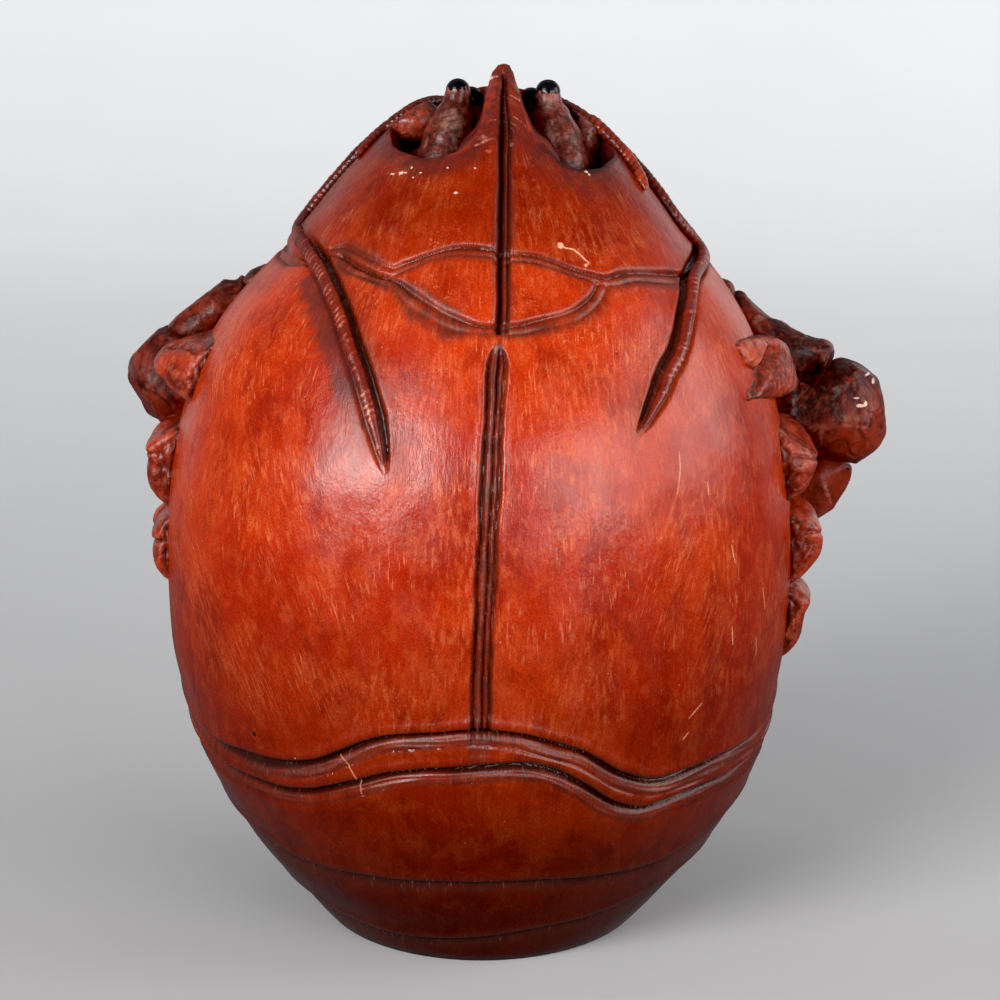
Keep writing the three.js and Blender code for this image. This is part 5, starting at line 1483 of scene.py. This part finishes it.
for side in ((("left", "right"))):
    palm, fixed, free = claw(side)
    teeth = []
    for a, b, k in ((fixed, free, 1), (free, fixed, -1)):
        pa, pb = np.array(a[0]), np.array(b[0])
        for t in np.linspace(0.35, 0.9, 6):
            x = np.array([np.interp(t * 3, range(4), pa[:, i]) for i in range(3)])
            y = np.array([np.interp(t * 3, range(4), pb[:, i]) for i in range(3)])
            r = np.interp(t * 3, range(4), a[2])
            teeth.append((k, x + (y - x) / np.linalg.norm(y - x) * r * 0.85, 2.3 - 0.9 * t))

    def f_palm(p, palm=palm, fixed=fixed, free=free, teeth=teeth, side=side):
        d = limb(p, palm[0], palm[2], 4.0, (palm[1], 0.72))
        d = smin(d, limb(p, fixed[0], fixed[2], 2.5, (fixed[1], 0.9)), 3.0)
        if side == "right":
            d = smin(d, pillow(p, (127.4, 36.0, 144.9), PALM_FACE, 10.0, 8.0), 2.0)
        for k, c, r in teeth:
            if k == 1:
                d = smin(d, ball(p, c, r), 0.8)
        d = smax(d, -(limb(p, free[0], np.array(free[2]) + 0.9, 2.5, (free[1], 0.9))), 0.6)
        return smax(d, -(surf(p)[2] + 1.6), 0.8)

    def f_free(p, free=free, teeth=teeth):
        d = limb(p, free[0], free[2], 2.5, (free[1], 0.9))
        for k, c, r in teeth:
            if k == -1:
                d = smin(d, ball(p, c, r), 0.8)
        return smax(d, -(surf(p)[2] + 1.6), 0.8)

    PALM_FACE = Flat([(-1.7, 12.2), (4.3, 10.7), (10.2, 9.5), (10.5, 6.3), (9.2, 2.3), (6.2, -2.2), (2.3, -7.2), (-2.2, -11.8), (-6.8, -14.6), (-13.7, -12.7), (-18.7, -0.7), (-11.7, 8.2)])
    lo, hi = span(list(palm[0]) + list(fixed[0]), 21)
    keep(sculpt("claw_palm_" + side, f_palm, lo, hi, 1.0, 71 if side == "left" else 73, 0.75, 14.0, 0.0, 0.07, 0.03, 3), "claw_palm_" + side, "limb_red", ARM_PAINT)
    lo, hi = span(free[0], 12)
    keep(sculpt("claw_finger_" + side, f_free, lo, hi, 0.8, 75 if side == "left" else 77, 0.7, 9.0, 0.0, 0.1, 0.03, 3), "claw_finger_" + side, "limb_red", ARM_PAINT)

# ---------------------------------------------------------------------------
# Walking legs. Knuckle profiles: height, distance off the body.
KNEES = {
    "leg_1_left": ([(213, -3), (212.1, 0.3), (210.4, 1.6), (209, 5.7), (206.8, 10.7), (205.1, 12.9), (202.9, 14.3), (200.7, 14.1), (198.2, 12.4), (196.6, 9.7), (193.9, 7.7), (192, 4.6), (190.7, 1.2), (189.5, -3)], 76, 99, 11.0),
    "leg_2_left": ([(179, -3), (177.8, 3), (176.4, 5.8), (173.6, 9), (171.3, 10.4), (169.3, 10.2), (167.2, 8.5), (165.8, 8.7), (162, 8.7), (158.3, 7.5), (155, 5.7), (152.8, 3.6), (150.9, 1.3), (149, -3)], 82, 98, 3.0),
    "leg_3_left": ([(149.5, -3), (148, 0.5), (145.1, 3.3), (140.5, 6.2), (139.2, 5.9), (138.2, 4.5), (135.1, 5.6), (131, 5.2), (127.7, 4), (125.2, 2.2), (124.3, 0.5), (123, -3)], 80, 97, 3.0),
    "leg_4_left": ([(121.5, -3), (120, 1.2), (117.7, 4.2), (114.9, 5.0), (112.3, 4.4), (107.8, 4.3), (103.8, 3.6), (101.2, 1.6), (99, -3)], 110, 121, 3.0),
    "leg_2_right": ([(181.5, -3), (180.1, 1), (177.4, 3.2), (174.3, 7), (172, 9.5), (169, 11.5), (165.4, 10.6), (161, 8.2), (157.5, 6), (155.4, 2.4), (154.3, 0), (153, -3)], 77, 97, 4.0),
    "leg_3_right": ([(150, -3), (148.9, 1.1), (147.8, 6.4), (144.9, 9.2), (140.5, 11), (136.7, 11.4), (132, 10), (127.2, 6.2), (123.6, 2.4), (122.6, 0.6), (121.5, -3)], 81, 97, 3.0),
    "leg_4_right": ([(122.5, -3), (121.6, 0.4), (119.9, 4.5), (117.7, 7.3), (114.9, 7.6), (112.3, 6.2), (107.8, 5.7), (103.8, 5), (99.2, 3.1), (96.1, 0.1), (95, -3)], 79, 96, 3.0),
}
LEGS = {"left": [(-92, 203.5, 7.0, 30, 5), (-95, 166.5, 6.2, 36, 3.6), (-94.5, 137, 5.4, 34, 1.8), (-113, 110, 5.0, 20, 1.6)],
        "right": [(84, 199, 7.0, 34, 4), (92, 166.5, 6.2, 36, 3.6), (93.5, 138, 6.2, 34, 3.6), (92, 109.5, 5.2, 34, 1.8)]}
FOLDS = {  # pinched folds on the visible knuckles: angle, height pairs with their depth
    "leg_1_left": [([(-78, 207.5), (-84, 208.6), (-91, 207.0)], 1.2)],
    "leg_2_left": [([(-80, 172.5), (-88, 168.5), (-97, 166.5)], 0.7)],
    "leg_3_left": [([(-79, 139.0), (-86, 138.6), (-97, 137)], 1.3)],
    "leg_2_right": [([(76, 172.5), (84, 168.5), (97, 163.5)], 0.8)],
    "leg_3_right": [([(80, 144), (86, 139.6), (97, 135)], 0.8)],
}


def leg(name, seed):
    _, num, side = name.split("_")
    s = -1 if side == "left" else 1
    knee, z, r, reach, lift = LEGS[side][int(num) - 1]
    kn = abs(knee)
    tip = kn + reach
    if num == "1":
        r, z, kn = 5.2, z - 2.0, kn + 12
    up = [(kn, z + 4, lift), (kn + reach * 0.5, z + 7, lift), (tip, z + 6, lift * 0.6)]
    dn = [(kn, z - 4, lift), (kn + reach * 0.5, z - 6.5, lift), (tip, z - 8, lift * 0.6)]
    P = [[on_body(s * a, zz, l) for a, zz, l in path] for path in (up, dn)]
    if name in KNEES:
        prof, a0, a1, ramp_len = KNEES[name]
        flat = Flat(prof)
    if name == "leg_1_right":           # folded flap: outline on the body (arc, height) and the valley across it
        arc = 1.74
        flap = Flat([(a * arc, zz) for a, zz in [(66.0, 214.8), (71.5, 214.9), (80, 213.6), (90.5, 210.5), (97, 206), (99, 199.5), (96, 193), (88.6, 189.6), (78.9, 191.8),
                                                 (68.6, 194.8), (63.4, 195.6), (62.6, 197.4), (65.2, 200.6), (70.4, 203.6), (67.2, 206.9), (66.6, 211.1)]])
        valley = np.array([(81.0 * arc, 209.5), (76.0 * arc, 206.6), (70.5 * arc, 202.8), (66.0 * arc, 198.6)])

    def f(p):
        d = smin(limb(p, P[0], [r, r * 0.95, r * 0.7], 2.0), limb(p, P[1], [r * 0.95, r * 0.85, r * 0.55], 2.0), 1.0)
        a, zz, h = surf(p)
        a = a * s
        a = np.where(a < -60, a + 360, a)
        if name == "leg_1_right":
            q = np.stack([a * arc, zz], 1)
            d2 = flap(q)
            v = np.full(len(p), 99.0)
            for k in range(3):
                ab = valley[k + 1] - valley[k]
                t = np.clip((q - valley[k]) @ ab / (ab @ ab), 0, 1)
                v = np.minimum(v, np.linalg.norm(q - valley[k] - t[:, None] * ab, axis=1))
            top = (2.6 + 7.0 * smoothstep(66, 90, a)) * np.sqrt(np.maximum(1 - (1 - np.clip(-d2 / 4.5, 0, 1)) ** 2, 0))
            top = np.maximum(top - 4.6 * np.exp(-(v / 1.9) ** 2) + 0.16 * np.cos(v * 1.9) * smoothstep(2.0, 4.0, v), 0.5)
            d = smin(d, smax(d2 * 0.9, (h - top) * 0.75, 0.8), 1.0)
        if name in KNEES:
            grow = np.clip(smoothstep(a0 - 3, a0 + ramp_len, a) * 0.9 + 0.1, 0.1, 1)
            k = flat(np.stack([zz, np.where(h > 0, h / grow, h)], 1))
            da = np.maximum((a0 - a), (a - a1)) * math.radians(1) * 108
            d = smin(d, smax(k * 0.9, da, 6.0), 2.0)
        return smax(d, -(h + 1.8), 0.8)

    allp = np.array(P[0] + P[1] + ([on_body(v, zz, l) for v in (62.0, 80.0, 97.0) for zz in (190.0, 215.5) for l in (0.0, 10.0)] if name == "leg_1_right" else []))
    if name in KNEES:
        extra = np.array([on_body(s * a, zz, h) for a in (a0, a1) for zz, h in prof])
        allp = np.vstack([allp, extra])
    lo, hi = span(allp, r + 3)
    ob = sculpt("leg_%s_%s" % (num, side), f, lo, hi, 0.7, seed, 0.25, 6.5, 0.22, 0.12, 0.03)
    # cup the knuckles inside a raised rim, and pinch the folds
    me = ob.data
    x = coords(me) * 1000 + SHIFT
    n = normals_of(me)
    a, zz, h = surf(x)
    cut = np.zeros(len(x))
    for path, depth in FOLDS.get(name, []):
        q = catmull(path, 40)
        al = np.interp(a * s, q[:, 0] * s, q[:, 1], left=1e3, right=1e3)
        al = al + 1.2 * field(x, 0.15, seed + 20)
        cut = np.maximum(cut, depth * np.exp(-((zz - al) / 0.8) ** 2) * smoothstep(0.3, 2.0, h))
    if name in KNEES:
        b = np.where(a * s < -60, a * s + 360, a * s)
        grow = np.clip(smoothstep(a0 - 3, a0 + ramp_len, b) * 0.9 + 0.1, 0.1, 1)
        k = flat(np.stack([zz, np.where(h > 0, h / grow, h)], 1))
        seen = smoothstep(0.15, 0.6, -n[:, 1]) * smoothstep(a0 + 24, a0 + 8, b)
        cup = smoothstep(0.6, 2.8, -k) * seen
        ripple = field(x * np.array([1.0, 1.0, 0.6]), 0.30, seed + 31, 2)
        cut = np.maximum(cut, cup * (1.25 + 0.9 * ripple))
    x = x - n * cut[:, None]
    set_coords(me, to_m(x))
    n = normals_of(me)
    lap = ((relax(x, edges_of(me), 4, 0.5) - x) * n).sum(1)
    attribute(me, "cav", np.clip(np.maximum(lap / 0.26, 0.35 * cut), 0, 1))
    attribute(me, "edge", np.clip(-lap / 0.22, 0, 1))
    return ob


for i in range(1, 5):
    for side in ("left", "right"):
        name = "leg_%d_%s" % (i, side)
        keep(leg(name, 80 + 2 * i + (side == "right")), name, "limb_red", LEG_PAINT)

# ---------------------------------------------------------------------------
# Tail fan: ribbed blades on the front of the foot. Angles from the front centre.

def blade(name, a, z, w, lift, seed, s=1):
    def f(p):
        ang, zz, h = surf(p)
        fa = np.where(ang > 0, 180 - ang, -180 - ang) * s           # + towards +X for s = 1 -> front angle
        t = np.clip((zz - z[0]) / (z[1] - z[0]), -0.2, 1.3)
        mid = a[0] + (a[1] - a[0]) * t
        u = np.radians(fa - mid) * 92.0
        half = w * (0.52 + 0.55 * np.clip(t, 0, 1) - 0.10 * np.clip(t, 0, 1) ** 3)
        top = z[1] - 6.5 * (u / np.maximum(half, 1)) ** 2 + 0.5 * np.cos(u * 1.9)
        side = np.abs(u) - half
        end = np.maximum(zz - top, z[0] - zz)
        d2 = smax(side, end, 3.0)
        rib = 0.45 * np.cos(u / np.maximum(half, 1) * math.pi * 3.0) * np.clip(t + 0.2, 0, 1) + 0.8 * np.exp(-(u / 1.6) ** 2)
        crown = lift + 1.6 + rib - 1.6 * np.clip(1 + d2 / 4.0, 0, 1) ** 2
        return smax(smax(d2 * 0.9, h - crown, 1.2), -(h + 1.8), 0.6)
    ends_ = [on_body(180 - s * v if s * v >= 0 else -180 - s * v, zz, h) for v in np.linspace(min(a) - 14, max(a) + 14, 7) for zz in (z[0], z[1]) for h in (0, 8)]
    lo, hi = span(ends_, 4)
    return sculpt(name, f, lo, hi, 0.8, seed, 0.0, 8, 0.25, 0.16, 0.16, 1)


keep(blade("telson", (0, 0), (9, 62), 17, 4.6, 101), "telson", "limb_red", LEG_PAINT)
for side, s in (((("right", 1), ("left", -1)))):
    keep(blade("uropod_inner_" + side, (15, 24), (9, 58), 17, 2.9, 103, s), "uropod_inner_" + side, "limb_red", LEG_PAINT)
    keep(blade("uropod_outer_" + side, (31, 45), (9, 50), 17, 1.2, 105, s), "uropod_outer_" + side, "limb_red", LEG_PAINT)
    path = [(7, 262), (9, 250), (8, 238), (5.5, 226)]
    pts = [on_body(s * (180 - a), z, 1.8) for a, z in path]

    def f(p, pts=pts):
        d = limb(p, pts, [3.2, 4.8, 4.2, 2.2], 1.2)
        for c, r in zip(pts[1:3], (5.2, 4.6)):
            d = smin(d, ball(p, c, r), 1.0)
        return smax(d, -(surf(p)[2] + 1.8), 0.6)
    lo, hi = span(pts, 8)
    keep(sculpt("maxilliped_" + side, f, lo, hi, 0.7, 107, 0.45, 5.0, 0.45, 0.18, 0.18), "maxilliped_" + side, "limb_red", LEG_PAINT)

# ---------------------------------------------------------------------------
# Stage: pale sweep, soft lights, camera.

def stage():
    pts = []
    for y in np.linspace(-1.6, 1.1, 12):
        pts.append((y, 0.0))
    for k in np.linspace(0, math.pi / 2, 14)[1:]:
        pts.append((1.1 + 0.7 * math.sin(k), 0.7 - 0.7 * math.cos(k)))
    pts.append((1.8, 3.0))
    verts, faces = [], []
    for y, z in pts:
        verts += [(-3.5, y, z), (3.5, y, z)]
    for i in range(len(pts) - 1):
        faces.append((2 * i, 2 * i + 1, 2 * i + 3, 2 * i + 2))
    me = bpy.data.meshes.new("floor")
    me.from_pydata(verts, [], faces)
    me.polygons.foreach_set("use_smooth", [True] * len(me.polygons))
    ob = link(bpy.data.objects.new("floor", me))
    m = Nodes("floor_paper")
    n = m.noise(None, 9.0, 3.0, 0.5)
    m.put(m.mix(n, (0.50, 0.505, 0.515), (0.53, 0.535, 0.545)), m.bsdf.inputs["Base Color"])
    m.bsdf.inputs["Roughness"].default_value = 0.9
    me.materials.append(m.mat)
    ob.visible_glossy = False
    ob.visible_diffuse = False


def area(name, pos, target, size, power, colour=(1, 1, 1)):
    li = bpy.data.lights.new(name, "AREA")
    li.shape = "RECTANGLE"
    li.size, li.size_y = size
    li.energy = power
    li.color = colour
    ob = link(bpy.data.objects.new(name, li))
    ob.location = pos
    d = Vector(target) - Vector(pos)
    ob.rotation_euler = d.to_track_quat("-Z", "Y").to_euler()
    return ob


stage()
area("window_left", (-1.12, -1.42, 0.74), (0, 0, 0.74), (1.05, 0.58), 38.0, (1.0, 0.98, 0.965))
area("window_left_top", (-1.10, -1.30, 1.34), (0, 0, 0.60), (0.95, 0.50), 8.0, (1.0, 0.98, 0.965))
area("window_right", (1.12, -1.46, 0.58), (0, 0, 0.52), (1.30, 0.80), 21.5, (1.0, 0.99, 0.98))
area("side_right", (1.9, -0.15, 0.80), (0, 0, 0.16), (1.4, 1.2), 22.0, (1.0, 0.99, 0.98))
area("rear_left", (-0.95, 1.35, 0.45), (0, 0, 0.16), (0.9, 1.2), 1.3)
area("rear_right", (0.95, 1.35, 0.45), (0, 0, 0.16), (0.9, 1.2), 2.8)
area("wall_wash", (0.0, 0.95, 1.75), (0, 1.8, 1.15), (2.8, 0.6), 46.0)
world = bpy.data.worlds.new("studio")
bpy.context.scene.world = world
world.use_nodes = True
bg = world.node_tree.nodes["Background"]
bg.inputs[0].default_value = (0.92, 0.95, 1.0, 1)
bg.inputs[1].default_value = 0.12

cam = bpy.data.cameras.new("camera")
cam.lens = 115.0
cam.sensor_width = 36.0
cam_ob = link(bpy.data.objects.new("camera", cam))
cam_ob.location = to_m((7.4, -1113.4, 437.9))
cam_ob.rotation_euler = (math.radians(90 - 14.5), 0, 0)
bpy.context.scene.camera = cam_ob
view = bpy.context.scene.view_settings
view.view_transform = "Standard"
view.use_curve_mapping = True
view.curve_mapping.black_level = (0.0055, 0.0055, 0.0055)
view.curve_mapping.update()
